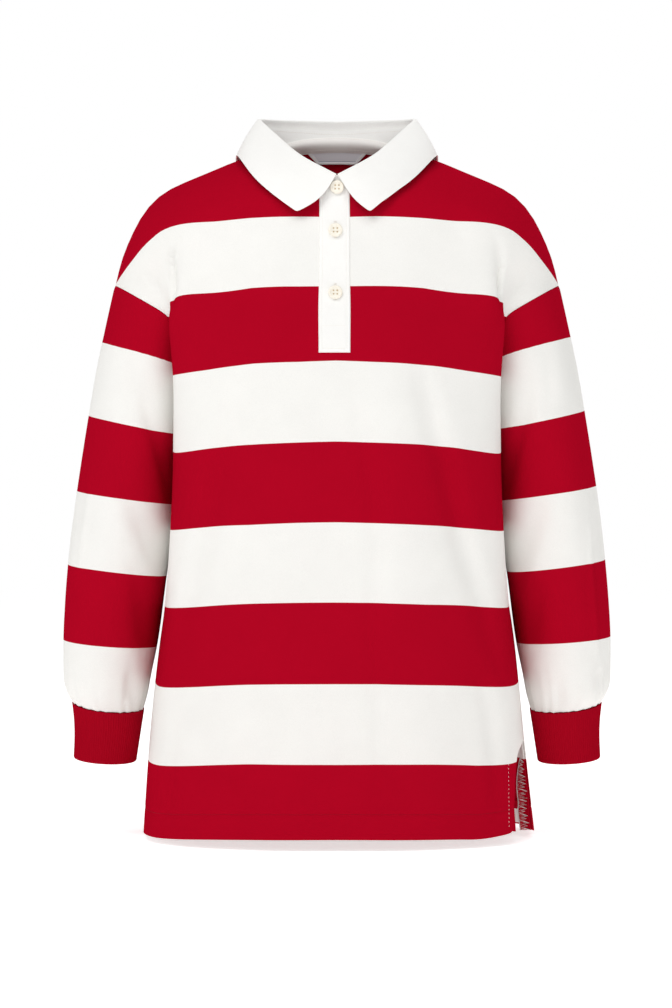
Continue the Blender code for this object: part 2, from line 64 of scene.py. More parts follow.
LOG = logging.getLogger("sweatshirt")
MM = 0.001
BODY = "root"
UP = np.array([0.0, 0.0, 1.0])
WHITE = (1.0, 1.0, 1.0, 1.0)
ALONG_X = Matrix.Rotation(math.pi / 2, 4, "Y")

# From a panel's or the stand's edge to its seam line, and from a sleeve's ring to the armhole.
SEAM_GAP = 0.1
ARMHOLE_GAP = 0.3
JERSEY_THICK = 1.6
HEM_THICK = 3.0
HEM_TURN = 26.0
# Distances down the cloth of a panel from its neck edge.
SHOULDER_POINT = 57.0
UNDERARM = 277.0
SLIT_TOP = 604.0
HEM = 700.0
STRIPE_START = 57.0
STRIPE_WIDTH = 81.0

PANEL_COLUMNS = ("down", "z", "y", "fold_x", "fold_y", "fold_z", "late", "bulge")
FRONT_SECTIONS = (
    (0, -29, -80, 58, -55, -13, 2.2, 0.07),
    (14, -38.5, -81.5, 92, -53, -25, 2.2, 0.09),
    (28, -48, -83.5, 128, -57, -43, 2.3, 0.10),
    (42, -57.5, -85.5, 156, -60, -60, 2.4, 0.11),
    (57, -67, -88, 175, -60, -76, 2.6, 0.10),
    (100, -106.5, -96, 174, -63, -114, 2.8, -0.03),
    (129, -133, -102, 173, -64, -140, 2.9, -0.16),
    (153, -155, -108, 172, -64, -163, 3, -0.25),
    (180, -180, -117, 171, -62, -188, 3.1, -0.13),
    (224, -221, -127, 169, -56, -231, 3.2, -0.02),
    (277, -275, -131, 169, -50, -284, 3.3, 0.01),
    (330, -328, -132, 170, -47, -337, 3.3, 0.02),
    (400, -398, -131, 173, -45, -406, 3.2, 0.02),
    (480, -478, -130, 176, -48, -486, 3.1, 0.03),
    (543, -541, -130, 179, -54, -548, 3, 0.05),
    (624, -623, -131, 182, -60, -630, 3, 0.07),
    (700, -698.5, -132, 184, -66, -704, 3, 0.09),
)
BACK_SECTIONS = (
    (0, 24, 68, 56, 53, 17, 2.3, 0.10),
    (14, 4, 77, 92, 57, -7, 2.3, 0.10),
    (28, -15, 85, 128, 62, -27, 2.4, 0.11),
    (42, -34, 93, 157, 68, -52, 2.5, 0.13),
    (57, -53, 99, 173, 74, -78, 2.6, 0.13),
    (100, -95, 108, 178, 80, -113, 2.8, 0.07),
    (129, -124, 113, 178, 85, -140, 2.9, 0.02),
    (153, -148, 116, 177, 90, -162, 3, -0.02),
    (180, -175, 119, 176, 95, -188, 3.1, -0.05),
    (224, -219, 122, 175, 98, -230, 3.2, 0),
    (277, -273, 124, 173, 98, -283, 3.3, 0.01),
    (330, -327, 126, 172, 96, -336, 3.3, 0.01),
    (400, -397, 127, 173, 92, -406, 3.2, 0.02),
    (480, -477, 128, 176, 90, -486, 3.1, 0.03),
    (543, -540, 129, 179, 91, -548, 3, 0.05),
    (624, -622, 131, 184, 93, -630, 3, 0.08),
    (700, -700, 133, 188, 96, -706, 3, 0.10),
)
SEAM_COLUMNS = ("down", "x", "y", "z")
SHOULDER_SEAM = (
    (0, 88, 4, 6),
    (7, 113, 5, -2.5),
    (14, 138, 6, -12.7),
    (21, 164, 6.5, -23.5),
    (28, 186.5, 7, -36),
    (35, 204.5, 7.5, -55.5),
    (42, 217.5, 8, -79.5),
    (49.5, 227.5, 8.5, -105),
    (57, 234, 9, -131),
)
ARMHOLE_FRONT = (
    (57, 234, 9, -131),
    (100, 215, -28, -142),
    (129, 193, -43, -155),
    (153, 174, -48, -169),
    (180, 164, -40, -192),
    (224, 157, -12, -228),
    (277, 151.5, 23, -264),
)
ARMHOLE_BACK = (
    (57, 234, 9, -131),
    (100, 218, 50, -143),
    (129, 199, 72, -156),
    (153, 183, 83, -171),
    (180, 171, 78, -194),
    (224, 160, 57, -229),
    (277, 151.5, 23, -264),
)
SIDE_SEAM_LEFT = (
    (277, 151.5, 23, -264),
    (330, 155, 25, -322),
    (400, 168, 27, -402),
    (480, 184, 29, -483),
    (543, 192, 31, -546),
    (624, 199, 33, -628),
    (700, 204, 35, -704),
)
SIDE_SEAM_RIGHT = (
    (277, 151.5, 23, -264),
    (330, 155, 23, -322),
    (400, 168, 21, -402),
    (480, 184, 15, -483),
    (543, 191, 6, -546),
    (624, 198, -8, -628),
    (700, 202, -20, -703),
)
TUBE_COLUMNS = ("v", "outer_x", "outer_z", "inner_x", "inner_z", "y", "front", "back", "drop")
SLEEVE_SECTIONS = (
    (66, 249.5, -197, 160, -287, 20, 68, 66, 6),
    (130, 261.5, -262, 163, -313, 21, 68, 68, 9),
    (208, 274.5, -345, 170, -374, 22, 65, 66, 10),
    (286, 283.5, -420, 180.5, -440, 22, 60, 61, 9),
    (362, 289, -501, 190.5, -513, 20, 53, 55, 8),
    (400, 289.5, -537, 197, -546, 18, 48, 50, 7),
    (420, 286.5, -557.5, 200.5, -565, 17, 43, 44, 6),
    (431, 279, -569.5, 204, -577, 17, 37, 37, 5),
)
CUFF_SECTIONS = (
    (0, 279, -569.9, 204, -577.4, 17, 37, 37, 5),
    (16, 277, -587, 206.5, -594, 15.5, 34.5, 34.5, 5),
    (57, 277, -627.5, 212, -631.5, 12, 32, 32, 3),
)
# How far each stripe's edge on the front lies below its even place, at shares across the panel.
FRONT_SHIFT_SHARES = (
    *(0, 0.075, 0.128, 0.144, 0.243, 0.335, 0.43, 0.5),
    *(0.57, 0.665, 0.757, 0.856, 0.872, 0.925, 1),
)
FRONT_SHIFTS = (
    (57, (0, 4, 3.6, 2.2, 0.6, -0.1, 1.3, 2.4, 0.9, 0, 0, 1.6, 3.2, 4, 0)),
    (138, (16, 16, 15, 5.2, 1.5, -2, -0.9, -1, -1.5, -2, 2, 6.2, 15, 16, 16)),
    (219, (0, 1.5, 2.8, 2.8, 3.3, 1.6, 1.7, 0.6, 1.8, 2.4, 4.3, 4.1, 4.1, 2, 0)),
    (300, (0, 0, -0.4, -0.4, 1.4, 1.5, 0.6, 0, 0.7, 1.4, 2.2, 0.5, 0.5, 0.3, 0)),
    (381, (0, 0.3, 0.6, 0.6, 0.9, 1.8, 0.8, 0.5, 1.2, 2, 2.3, 1.4, 1.4, 0.7, 0)),
    (462, (0, 0, -0.2, -0.2, 0.7, 0.1, -0.1, -0.1, 0.2, 0.9, 0, -0.1, -0.1, 0, 0)),
    (543, (0, 1, 2, 2, 2.2, 1.1, 1, 1.1, 1.1, 1.6, 1.7, 0.9, 0.9, 0.4, 0)),
    (624, (0, 0, 0, 0, -0.2, -1, -0.4, 0, -0.4, -0.9, -0.4, -2.2, -2.2, -1, 0)),
)
COLLAR_COLUMNS = ("turn", *(f"{line}_{axis}" for line in ("roll", "mid", "fall") for axis in "xyz"))
COLLAR_SECTIONS = (
    (0.00, 0.6, -85, -24, 17, -93.5, -48.5, 41, -95.5, -63.5),
    (0.12, 17, -79, -15, 35, -90, -39, 54, -91, -54),
    (0.26, 39, -62, -1, 57, -78, -25, 72, -79, -39),
    (0.40, 61, -36, 19, 77, -54, -4, 90, -58, -19),
    (0.52, 79, -4, 38, 93, -17, 18, 103, -20, 1.5),
    (0.62, 84, 20, 46, 97, 20, 26, 107, 20, 5),
    (0.74, 72, 48, 49, 89, 56, 24, 101, 62, -3),
    (0.87, 41, 72, 51, 51, 85, 22, 58, 89, -10),
    (1.00, 0, 80, 51, 0, 93, 20, 0, 97, -14),
)
# How far the leaf's +X half lies nearer to the middle at its middle line and its falling edge, and how far
# forward it lies for each millimetre of that.
LEAF_LEAN_TURNS = (0, 0.12, 0.26, 0.40, 0.52)
LEAF_LEAN = {"mid": (1, 4, 4, 2, 0), "fall": (7.4, 9.2, 8.1, 4, 0)}
LEAF_LEAN_FORWARD = 0.25
# Shares across a panel of its edge, side, fold, two front points and middle.
ACROSS = (0, 0.075, 0.155, 0.255, 0.38, 0.5, 0.62, 0.745, 0.845, 0.925, 1)


class Side(Enum):
    """The wearer's two sides, named as they lie in the front view."""

    LEFT = -1
    RIGHT = 1

    @property
    def word(self) -> str:
        """The side's name in lower case."""
        return self.name.lower()


class Face(Enum):
    """The two panels of the body."""

    FRONT = "front"
    BACK = "back"


class Slot(Enum):
    """The material slots."""

    JERSEY = "jersey"
    RIB = "rib_knit"
    TWILL = "twill"
    LABEL = "label"
    BUTTON = "button"


# Height of each stripe's edge on a sleeve: at its outer side, its front, its inner side and its back.
SLEEVE_STRIPES = {
    Side.LEFT: (
        (-190.5, -210, -225.5, -200),
        (-267.5, -280.5, -288, -275.5),
        (-347, -356.2, -361, -352),
        (-424, -432, -436.5, -428.5),
        (-503.5, -509.5, -511, -505),
    ),
    Side.RIGHT: (
        (-185, -204.5, -221, -195.5),
        (-262, -275.5, -282.5, -270.5),
        (-341.5, -351.6, -357, -347),
        (-419, -427.6, -432, -424),
        (-500, -505.5, -507, -502),
    ),
}
# How far a slit's edge has moved from the seam line at the hem, outwards and in depth.
SLIT_OPEN = {
    (Face.FRONT, Side.LEFT): (-2, -8),
    (Face.BACK, Side.LEFT): (0, 10),
    (Face.FRONT, Side.RIGHT): (-17.5, -22),
    (Face.BACK, Side.RIGHT): (5, 14),
}


def spline(knots: Sequence[float], values: np.ndarray, at: np.ndarray) -> np.ndarray:
    """Reads a natural cubic spline.

    Args:
        knots: Places where the values are known, rising.
        values: A value, or a row of values, for each knot.
        at: Places to read.

    Returns:
        The values there, held at the end knots' places outside them.
    """
    knots, values = np.asarray(knots, float), np.asarray(values, float)
    at = np.clip(np.asarray(at, float), knots[0], knots[-1])
    step = np.diff(knots)
    slope = np.diff(values, axis=0) / step.reshape(-1, *[1] * (values.ndim - 1))
    count = len(knots)
    system, right = np.eye(count), np.zeros_like(values)
    for i in range(1, count - 1):
        system[i, i - 1 : i + 2] = step[i - 1], 2 * (step[i - 1] + step[i]), step[i]
        right[i] = 6 * (slope[i] - slope[i - 1])
    bend = np.linalg.solve(system, right.reshape(count, -1)).reshape(values.shape)
    i = np.clip(np.searchsorted(knots, at) - 1, 0, count - 2)
    h = step[i].reshape(*at.shape, *[1] * (values.ndim - 1))
    a = (knots[i + 1] - at).reshape(h.shape) / h
    b = 1 - a
    return a * values[i] + b * values[i + 1] + ((a**3 - a) * bend[i] + (b**3 - b) * bend[i + 1]) * h**2 / 6


def read_table(rows: Sequence[Sequence[float]], columns: Sequence[str], at: float) -> dict[str, float]:
    """Reads a table's named columns, smoothly between its rows."""
    table = np.array(rows)
    return dict(zip(columns, spline(table[:, 0], table, np.array(at))))


def unit(vectors: np.ndarray) -> np.ndarray:
    """Returns the vectors scaled to length one."""
    return vectors / np.maximum(np.linalg.norm(vectors, axis=-1, keepdims=True), 1e-9)


def arc_lengths(points: np.ndarray) -> np.ndarray:
    """Returns how far along a line of points each of them lies."""
    return np.concatenate([[0], np.cumsum(np.linalg.norm(np.diff(points, axis=0), axis=1))])


def mean_across(points: np.ndarray) -> np.ndarray:
    """Returns each point's place across a grid of points, the same in every row."""
    along = np.linalg.norm(np.diff(points, axis=1), axis=2).mean(0)
    return np.broadcast_to(np.concatenate([[0], np.cumsum(along)]), points.shape[:2])


def read_line(values: np.ndarray, along: np.ndarray, at: float) -> np.ndarray:
    """Returns a point or direction at a place along a line of them."""
    return np.array([np.interp(at, along, column) for column in values.T])


def fade(start: float, end: float, at: np.ndarray) -> np.ndarray:
    """Returns 0 before start, 1 after end, and a smooth rise between them."""
    share = np.clip((np.asarray(at, float) - start) / (end - start), 0.0, 1.0)
    return share * share * (3 - 2 * share)


def linear(red: float, green: float, blue: float) -> tuple[float, float, float, float]:
    """Returns a shader colour for a display colour whose parts run from 0 to 255."""
    parts = [((c / 255 + 0.055) / 1.055) ** 2.4 if c > 10 else c / 255 / 12.92 for c in (red, green, blue)]
    return (*parts, 1.0)


def outward(points: np.ndarray, middle: tuple[float, float], closed: bool = False) -> np.ndarray:
    """Finds the outward direction at each point of a grid.

    Args:
        points: The grid, rows by columns by 3.
        middle: The x and y of a line that the grid goes round.
        closed: Whether the last column repeats the first.

    Returns:
        A direction of length one for each point.
    """
    if closed:
        points = np.concatenate([points[:, -2:-1], points, points[:, 1:2]], axis=1)
    normals = np.cross(np.gradient(points, axis=0), np.gradient(points, axis=1))
    if np.sum(normals[..., :2] * (points[..., :2] - np.array(middle))) < 0:
        normals = -normals
    return unit(normals[:, 1:-1] if closed else normals)


def across_run(vectors: np.ndarray, line: np.ndarray) -> np.ndarray:
    """Returns the vectors made square to a line of points, and of length one."""
    run = unit(np.gradient(line, axis=0))
    return unit(vectors - run * np.sum(run * vectors, axis=1, keepdims=True))


def mesh_of(name: str, bm: bmesh.types.BMesh) -> bpy.types.Mesh:
    """Makes a mesh from a bmesh, which is freed.

    Args:
        name: The mesh's name.
        bm: What it is made from.

    Returns:
        The mesh.
    """
    mesh = bpy.data.meshes.new(name)
    bm.to_mesh(mesh)
    bm.free()
    return mesh


def placed(name: str, data: bpy.types.ID) -> bpy.types.Object:
    """Makes an object of the data and links it to the scene.

    Args:
        name: The object's name.
        data: Its mesh, curve, light or camera.

    Returns:
        The object.
    """
    made = bpy.data.objects.new(name, data)
    bpy.context.scene.collection.objects.link(made)
    return made


def evaluated(source: bpy.types.Object) -> bpy.types.Mesh:
    """Makes a mesh of an object as its modifiers or bevel leave it."""
    bpy.context.view_layer.update()
    return bpy.data.meshes.new_from_object(source.evaluated_get(bpy.context.evaluated_depsgraph_get()))


@dataclass(frozen=True)
class Crease:
    """A soft trough in the cloth, or a ridge where its depth is negative.

    Attributes:
        path: Points it passes through, in millimetres across and down the piece.
        depth: How far its middle lies below the cloth round it.
        near: Half width on the left of the path, as someone sees who goes down it.
        far: Half width on the right of the path.
    """

    path: tuple[tuple[float, float], ...]
    depth: float
    near: float
    far: float

    def drop(self, across: np.ndarray, down: np.ndarray) -> np.ndarray:
        """Finds how far the crease lowers each point.

        Args:
            across: The points' places across the piece.
            down: Their places down it.

        Returns:
            The drop at each point, in millimetres.
        """
        knots = np.linspace(0.0, 1.0, len(self.path))
        shares = np.linspace(0.0, 1.0, 15)
        line = spline(knots, np.array(self.path), shares)
        place = np.stack([across, down], axis=-1)
        best = np.full(across.shape, 1e9)
        side, along = np.zeros(across.shape), np.zeros(across.shape)
        for index, (start, end) in enumerate(zip(line, line[1:])):
            run = end - start
            t = np.clip(((place - start) @ run) / (run @ run), 0.0, 1.0)
            gap = place - start - t[..., None] * run
            far = np.linalg.norm(gap, axis=-1)
            nearer = far < best
            best = np.where(nearer, far, best)
            side = np.where(nearer, gap[..., 0] * run[1] - gap[..., 1] * run[0], side)
            along = np.where(nearer, (index + t) / (len(line) - 1), along)
        width = np.where(side > 0, self.far, self.near)
        taper = np.sin(math.pi * np.clip(along, 0.02, 0.98)) ** 0.8
        return self.depth * taper * np.exp(-((best / width) ** 2))


def drops(creases: Sequence[Crease], across: np.ndarray, down: np.ndarray) -> np.ndarray:
    """Returns the sum of what the creases lower each point by."""
    return sum((crease.drop(across, down) for crease in creases), np.zeros(across.shape))


@dataclass
class Cloth:
    """A sheet of cloth as a grid of points on its outer face.

    Attributes:
        points: The outer face, rows by columns by 3, in millimetres.
        out: The outward direction at each point.
        down: The place of each row down the sheet.
        across: The place of each point across it, measured along the cloth.
    """

    points: np.ndarray
    out: np.ndarray
    down: np.ndarray
    across: np.ndarray

    @property
    def downs(self) -> np.ndarray:
        """The place of each point down the sheet."""
        return np.broadcast_to(self.down[:, None], self.across.shape)

    @property
    def from_edge(self) -> np.ndarray:
        """The distance of each point from the nearer of the sheet's two sides."""
        return np.minimum(self.across - self.across[:, :1], self.across[:, -1:] - self.across)

    def read(
        self, across: np.ndarray, down: np.ndarray, lift: float = 0.0
    ) -> tuple[np.ndarray, np.ndarray]:
        """Finds places on the sheet.

        Args:
            across: Places across the sheet.
            down: Places down it, one for each.
            lift: How far outwards from its outer face.

        Returns:
            The points and the outward directions there.
        """
        points, outs = [], []
        for a, d in zip(np.atleast_1d(across), np.atleast_1d(down)):
            row = int(np.clip(np.searchsorted(self.down, d) - 1, 0, len(self.down) - 2))
            share = np.clip((d - self.down[row]) / (self.down[row + 1] - self.down[row]), 0.0, 1.0)
            both = [
                [np.interp(a, self.across[r], grid[r, :, axis]) for axis in range(3)]
                for grid in (self.points, self.out)
                for r in (row, row + 1)
            ]
            low, high, low_out, high_out = map(np.array, both)
            points.append(low + (high - low) * share)
            outs.append(unit(low_out + (high_out - low_out) * share))
        outs = np.array(outs)
        return np.array(points) + outs * lift, outs

    def patch(self, across: np.ndarray, down: np.ndarray, lift: float) -> tuple[np.ndarray, np.ndarray]:
        """Reads a grid of places, given as two arrays of rows by columns, and their outward directions."""
        points, outs = self.read(across.ravel(), down.ravel(), lift)
        return points.reshape(*across.shape, 3), outs.reshape(*across.shape, 3)


class Graph:
    """Adds and links the nodes of one procedural material."""

    def __init__(self, name: str, roughness: float, specular: float = 0.1, sheen: float = 0.0) -> None:
        """Starts a material.

        Args:
            name: The material's name.
            roughness: The shader's roughness.
            specular: Its specular level.
            sheen: Its sheen weight.
        """
        self.material = bpy.data.materials.new(name)
        self.material.use_nodes = True
        self.tree = self.material.node_tree
        self.shader = self.tree.nodes["Principled BSDF"]
        self.shader.inputs["Roughness"].default_value = roughness
        self.shader.inputs["Specular IOR Level"].default_value = specular
        self.shader.inputs["Sheen Weight"].default_value = sheen
        self.shader.inputs["Sheen Roughness"].default_value = 0.6

    def node(self, kind: str, settings: dict[str, object] | None = None, **inputs: object) -> bpy.types.Node:
        """Adds a node.

        Args:
            kind: The node's type, without its ShaderNode prefix.
            settings: Values of the node's own properties.
            **inputs: Sockets, or values, for its inputs by name, with _ for a space.

        Returns:
            The node.
        """
        made = self.tree.nodes.new(f"ShaderNode{kind}")
        for key, value in (settings or {}).items():
            setattr(made, key, value)
        for key, value in inputs.items():
            self.feed(made.inputs[key.replace("_", " ")], value)
        return made

    def feed(self, socket: bpy.types.NodeSocket, value: object) -> None:
        """Links a socket to another, or sets its value."""
        if isinstance(value, bpy.types.NodeSocket):
            self.tree.links.new(value, socket)
        else:
            socket.default_value = value

    def math(self, operation: str, *values: object) -> bpy.types.NodeSocket:
        """Adds a Math node and returns its output.

        Args:
            operation: The node's operation.
            *values: Its inputs, sockets or numbers.

        Returns:
            The node's output.
        """
        made = self.node("Math", {"operation": operation})
        for socket, value in zip(made.inputs, values):
            self.feed(socket, value)
        return made.outputs[0]

    def wave(self, value: object, rate: float) -> bpy.types.NodeSocket:
        """Returns the sine of a value times a rate."""
        return self.math("SINE", self.math("MULTIPLY", value, rate))

    def add(self, value: object, other: object, share: float = 1.0) -> bpy.types.NodeSocket:
        """Returns a value plus a share of another."""
        return self.math("ADD", value, self.math("MULTIPLY", other, share))

    def ramp(
        self, value: object, low: float, high: float, to_low: float = 0.0, to_high: float = 1.0
    ) -> bpy.types.NodeSocket:
        """Adds a clamped Map Range node and returns its output."""
        ends = {"From_Min": low, "From_Max": high, "To_Min": to_low, "To_Max": to_high}
        return self.node("MapRange", {}, Value=value, **ends).outputs[0]

    def mix(self, factor: object, first: object, second: object, blend: str = "MIX") -> bpy.types.NodeSocket:
        """Mixes two colours and returns the result.

        Args:
            factor: How much of the second colour.
            first: A colour or a socket.
            second: Another.
            blend: How they are mixed.

        Returns:
            The mixed colour.
        """
        made = self.node("Mix", {"data_type": "RGBA", "blend_type": blend})
        for socket, value in zip([made.inputs[i] for i in (0, 6, 7)], (factor, first, second)):
            self.feed(socket, value)
        return made.outputs[2]

    def noise(self, place: object, scale: float, detail: float = 2.0) -> bpy.types.NodeSocket:
        """Adds a noise texture, with its scale per metre, and returns its value."""
        return self.node("TexNoise", {}, Vector=place, Scale=scale, Detail=detail).outputs[0]

    def place(self) -> bpy.types.NodeSocket:
        """Returns the point in Object coordinates."""
        return self.node("TexCoord").outputs["Object"]

    def cloth_place(self) -> tuple[bpy.types.NodeSocket, bpy.types.NodeSocket]:
        """Returns the place across and down the cloth, in metres."""
        split = self.node("SeparateXYZ", {}, Vector=self.node("UVMap", {"uv_map": "cloth"}).outputs[0])
        return split.outputs[0], split.outputs[1]

    def bump(self, height: object, strength: float, distance: float) -> None:
        """Gives the shader a bump from a height."""
        made = self.node("Bump", {}, Height=height, Strength=strength, Distance=distance)
        self.feed(self.shader.inputs["Normal"], made.outputs[0])

    def colour(self, value: object, shade: object = None) -> None:
        """Gives the shader its colour, times a grey shade if there is one.

        Args:
            value: A colour or a socket.
            shade: A grey shade, or None.
        """
        if shade is not None:
            grey = self.node("CombineColor", {}, Red=shade, Green=shade, Blue=shade).outputs[0]
            value = self.mix(1.0, value, grey, "MULTIPLY")
        self.feed(self.shader.inputs["Base Color"], value)


@dataclass(frozen=True)
class KnitFinish:
    """Heavy cotton jersey, plain or in wide stripes, or a rib knit.

    Attributes:
        name: The material's name.
        red: Display colour of the red yarn.
        white: Display colour of the white yarn, or None for cloth that is red all over.
        wale: Width of a column of stitches, in millimetres.
        course: Height of a row of stitches.
        relief: Strength of the stitches' bump.
        fibre_scale: Fineness of the fibres' shade, per metre.
        dye_scale: Fineness of the dye's shade, per metre.
        stripe_blur: Softness of a stripe's edge, for the wave that the stripes follow.
    """

    name: str
    red: tuple[float, float, float]
    white: tuple[float, float, float] | None
    wale: float
    course: float
    relief: float
    fibre_scale: float = 1400.0
    dye_scale: float = 26.0
    stripe_blur: float = 0.008

    def material(self) -> bpy.types.Material:
        """Returns the finish as a material.

        Returns:
            The material.
        """
        graph = Graph(self.name, roughness=0.9, specular=0.0)
        place = graph.place()
        fibre = graph.noise(place, self.fibre_scale, 3.0)
        dye = graph.noise(place, self.dye_scale)
        colour = linear(*self.red)
        if self.white:
            stripe = graph.node("Attribute", {"attribute_name": "stripe"}).outputs["Fac"]
            in_white = graph.ramp(graph.wave(stripe, math.pi), -self.stripe_blur, self.stripe_blur, 1.0, 0.0)
            colour = graph.mix(in_white, colour, linear(*self.white))
        fibre_shade = graph.ramp(fibre, 0.3, 0.7, 0.965, 1.03)
        graph.colour(colour, graph.math("MULTIPLY", fibre_shade, graph.ramp(dye, 0.3, 0.7, 0.985, 1.01)))
        across, down = graph.cloth_place()
        wales = graph.math("DIVIDE", across, self.wale * MM)
        courses = graph.math("DIVIDE", down, self.course * MM)
        leg = graph.math("MULTIPLY", graph.math("PINGPONG", wales, 0.5), 2.0)
        slant = graph.math("FRACT", graph.add(courses, leg, 0.45))
        loop = graph.math("MULTIPLY", graph.wave(slant, math.pi), 0.6)
        height = graph.add(loop, graph.wave(leg, math.pi), 0.7)
        graph.bump(graph.add(height, fibre, 0.8), self.relief, 0.25 * MM)
        return graph.material


@dataclass(frozen=True)
class WovenFinish:
    """A woven cotton cloth of fine diagonal twill.

    Attributes:
        name: The material's name.
        tint: Display colour.
        pitch: Distance between the diagonal lines, in millimetres.
        slant: How steep the lines are, 0 for level ones.
        relief: Strength of the bump.
        roughness: The shader's roughness.
        fibre_scale: Fineness of the fibres' shade, per metre.
        slub_scale: Fineness of the thicker and thinner yarn's shade, per metre.
        weft: Distance between the upright lines, in millimetres.
    """

    name: str
    tint: tuple[float, float, float]
    pitch: float
    slant: float
    relief: float
    roughness: float
    fibre_scale: float = 1100.0
    slub_scale: float = 60.0
    weft: float = 0.55

    def material(self) -> bpy.types.Material:
        """Returns the finish as a material.

        Returns:
            The material.
        """
        graph = Graph(self.name, roughness=self.roughness, specular=0.12, sheen=0.02)
        place = graph.place()
        fibre = graph.noise(place, self.fibre_scale, 3.0)
        slub_shade = graph.ramp(graph.noise(place, self.slub_scale), 0.3, 0.7, 0.985, 1.0)
        shade = graph.math("MULTIPLY", graph.ramp(fibre, 0.3, 0.7, 0.975, 1.015), slub_shade)
        graph.colour(linear(*self.tint), shade)
        across, down = graph.cloth_place()
        line = graph.wave(graph.add(down, across, self.slant), 2 * math.pi / (self.pitch * MM))
        height = graph.add(line, graph.wave(across, 2 * math.pi / (self.weft * MM)), 0.35)
        graph.bump(graph.add(height, fibre), self.relief, 0.12 * MM)
        return graph.material


@dataclass(frozen=True)
class LabelFinish:
    """The smooth woven face of a blank label, with a thin line above its lower edge, paler folded ends and
    painted shade between its yarns.

    Attributes:
        name: The material's name.
        ground: Display colour of the middle.
        line: Display colour of the line.
        fold: Display colour of the folded ends and lower edge.
        weft: Distance between the level yarns, in millimetres.
        warp: Distance between the upright yarns.
    """

    name: str
    ground: tuple[float, float, float]
    line: tuple[float, float, float]
    fold: tuple[float, float, float]
    weft: float = 0.3
    warp: float = 0.4

    def material(self) -> bpy.types.Material:
        """Returns the finish as a material.

        Returns:
            The material.
        """
        graph = Graph(self.name, roughness=0.55, specular=0.2)
        zone = graph.node("Attribute", {"attribute_name": "stripe"}).outputs["Fac"]
        middle = graph.mix(graph.ramp(zone, 0.0, 1.0), linear(*self.line), linear(*self.ground))
        colour = graph.mix(graph.ramp(zone, 1.0, 2.0), middle, linear(*self.fold))
        across, down = graph.cloth_place()
        weft = graph.wave(down, 2 * math.pi / (self.weft * MM))
        height = graph.add(weft, graph.wave(across, 2 * math.pi / (self.warp * MM)), 0.5)
        # Painted shade: the colour darkens where the weave's height is low, between the yarns.
        graph.colour(colour, graph.ramp(height, -1.5, 1.5, 0.97, 1.0))
        graph.bump(height, 0.15, 0.05 * MM)
        return graph.material


@dataclass(frozen=True)
class ThreadFinish:
    """Twisted sewing thread, with painted shade in the grooves of its twist.

    Attributes:
        name: The material's name.
        tint: Display colour.
        twists: Fineness of its twist, per metre.
    """

    name: str
    tint: tuple[float, float, float]
    twists: float = 900.0

    def material(self) -> bpy.types.Material:
        """Returns the finish as a material.

        Returns:
            The material.
        """
        graph = Graph(self.name, roughness=0.75, specular=0.15)
        bands = {"Vector": graph.place(), "Scale": self.twists, "Distortion": 1.0}
        twist = graph.node("TexWave", {"bands_direction": "DIAGONAL"}, **bands).outputs[1]
        # Painted shade: the colour darkens where the twist's bump is low, in its grooves.
        graph.colour(linear(*self.tint), graph.ramp(twist, 0.0, 1.0, 0.9, 1.0))
        graph.bump(twist, 0.3, 0.1 * MM)
        return graph.material


@dataclass(frozen=True)
class ButtonFinish:
    """Satin cream resin with a faint cloudiness.

    Attributes:
        name: The material's name.
        tint: Display colour.
        cloud: Display colour of its cloudy places.
    """

    name: str
    tint: tuple[float, float, float]
    cloud: tuple[float, float, float]

    def material(self) -> bpy.types.Material:
        """Returns the finish as a material.

        Returns:
            The material.
        """
        graph = Graph(self.name, roughness=0.38, specular=0.4)
        graph.shader.inputs["Coat Weight"].default_value = 0.15
        graph.shader.inputs["Coat Roughness"].default_value = 0.3
        place = graph.place()
        cloud = graph.ramp(graph.noise(place, 320.0, 3.0), 0.35, 0.7)
        graph.colour(graph.mix(cloud, linear(*self.tint), linear(*self.cloud)))
        graph.bump(graph.noise(place, 2500.0, 1.0), 0.05, 0.05 * MM)
        return graph.material


class Wardrobe:
    """The finishes of the garment, made once and shared by its pieces."""

    def __init__(self) -> None:
        """Makes every material."""
        self.jersey = KnitFinish("striped jersey", (174, 7, 34), (245, 244, 240), 0.95, 0.8, 0.3).material()
        self.rib = KnitFinish("red rib", (163, 8, 30), None, 0.95, 0.8, 0.35).material()
        self.twill = WovenFinish("white twill", (251, 250, 247), 0.9, 1.0, 0.25, 0.8).material()
        self.tape = WovenFinish("neck tape twill", (251, 248, 244), 1.4, 1.0, 0.45, 0.8).material()
        self.label = LabelFinish("label satin", (243, 244, 249), (176, 178, 190), (255, 255, 255)).material()
        self.red_thread = ThreadFinish("red thread", (160, 10, 34)).material()
        self.pale_thread = ThreadFinish("pale thread", (255, 250, 249)).material()
        self.white_thread = ThreadFinish("white thread", (250, 244, 236)).material()
        self.button_thread = ThreadFinish("button thread", (214, 192, 156)).material()
        self.button = ButtonFinish("cream resin", (250, 245, 232), (245, 237, 221)).material()


@dataclass(frozen=True)
class Stitch:
    """Sizes of a row of stitches, in millimetres.

    Attributes:
        length: Length of a stitch that shows.
        pitch: Distance from one stitch to the next.
        thread: Width of the thread.
    """

    length: float = 2.3
    pitch: float = 3.0
    thread: float = 0.5


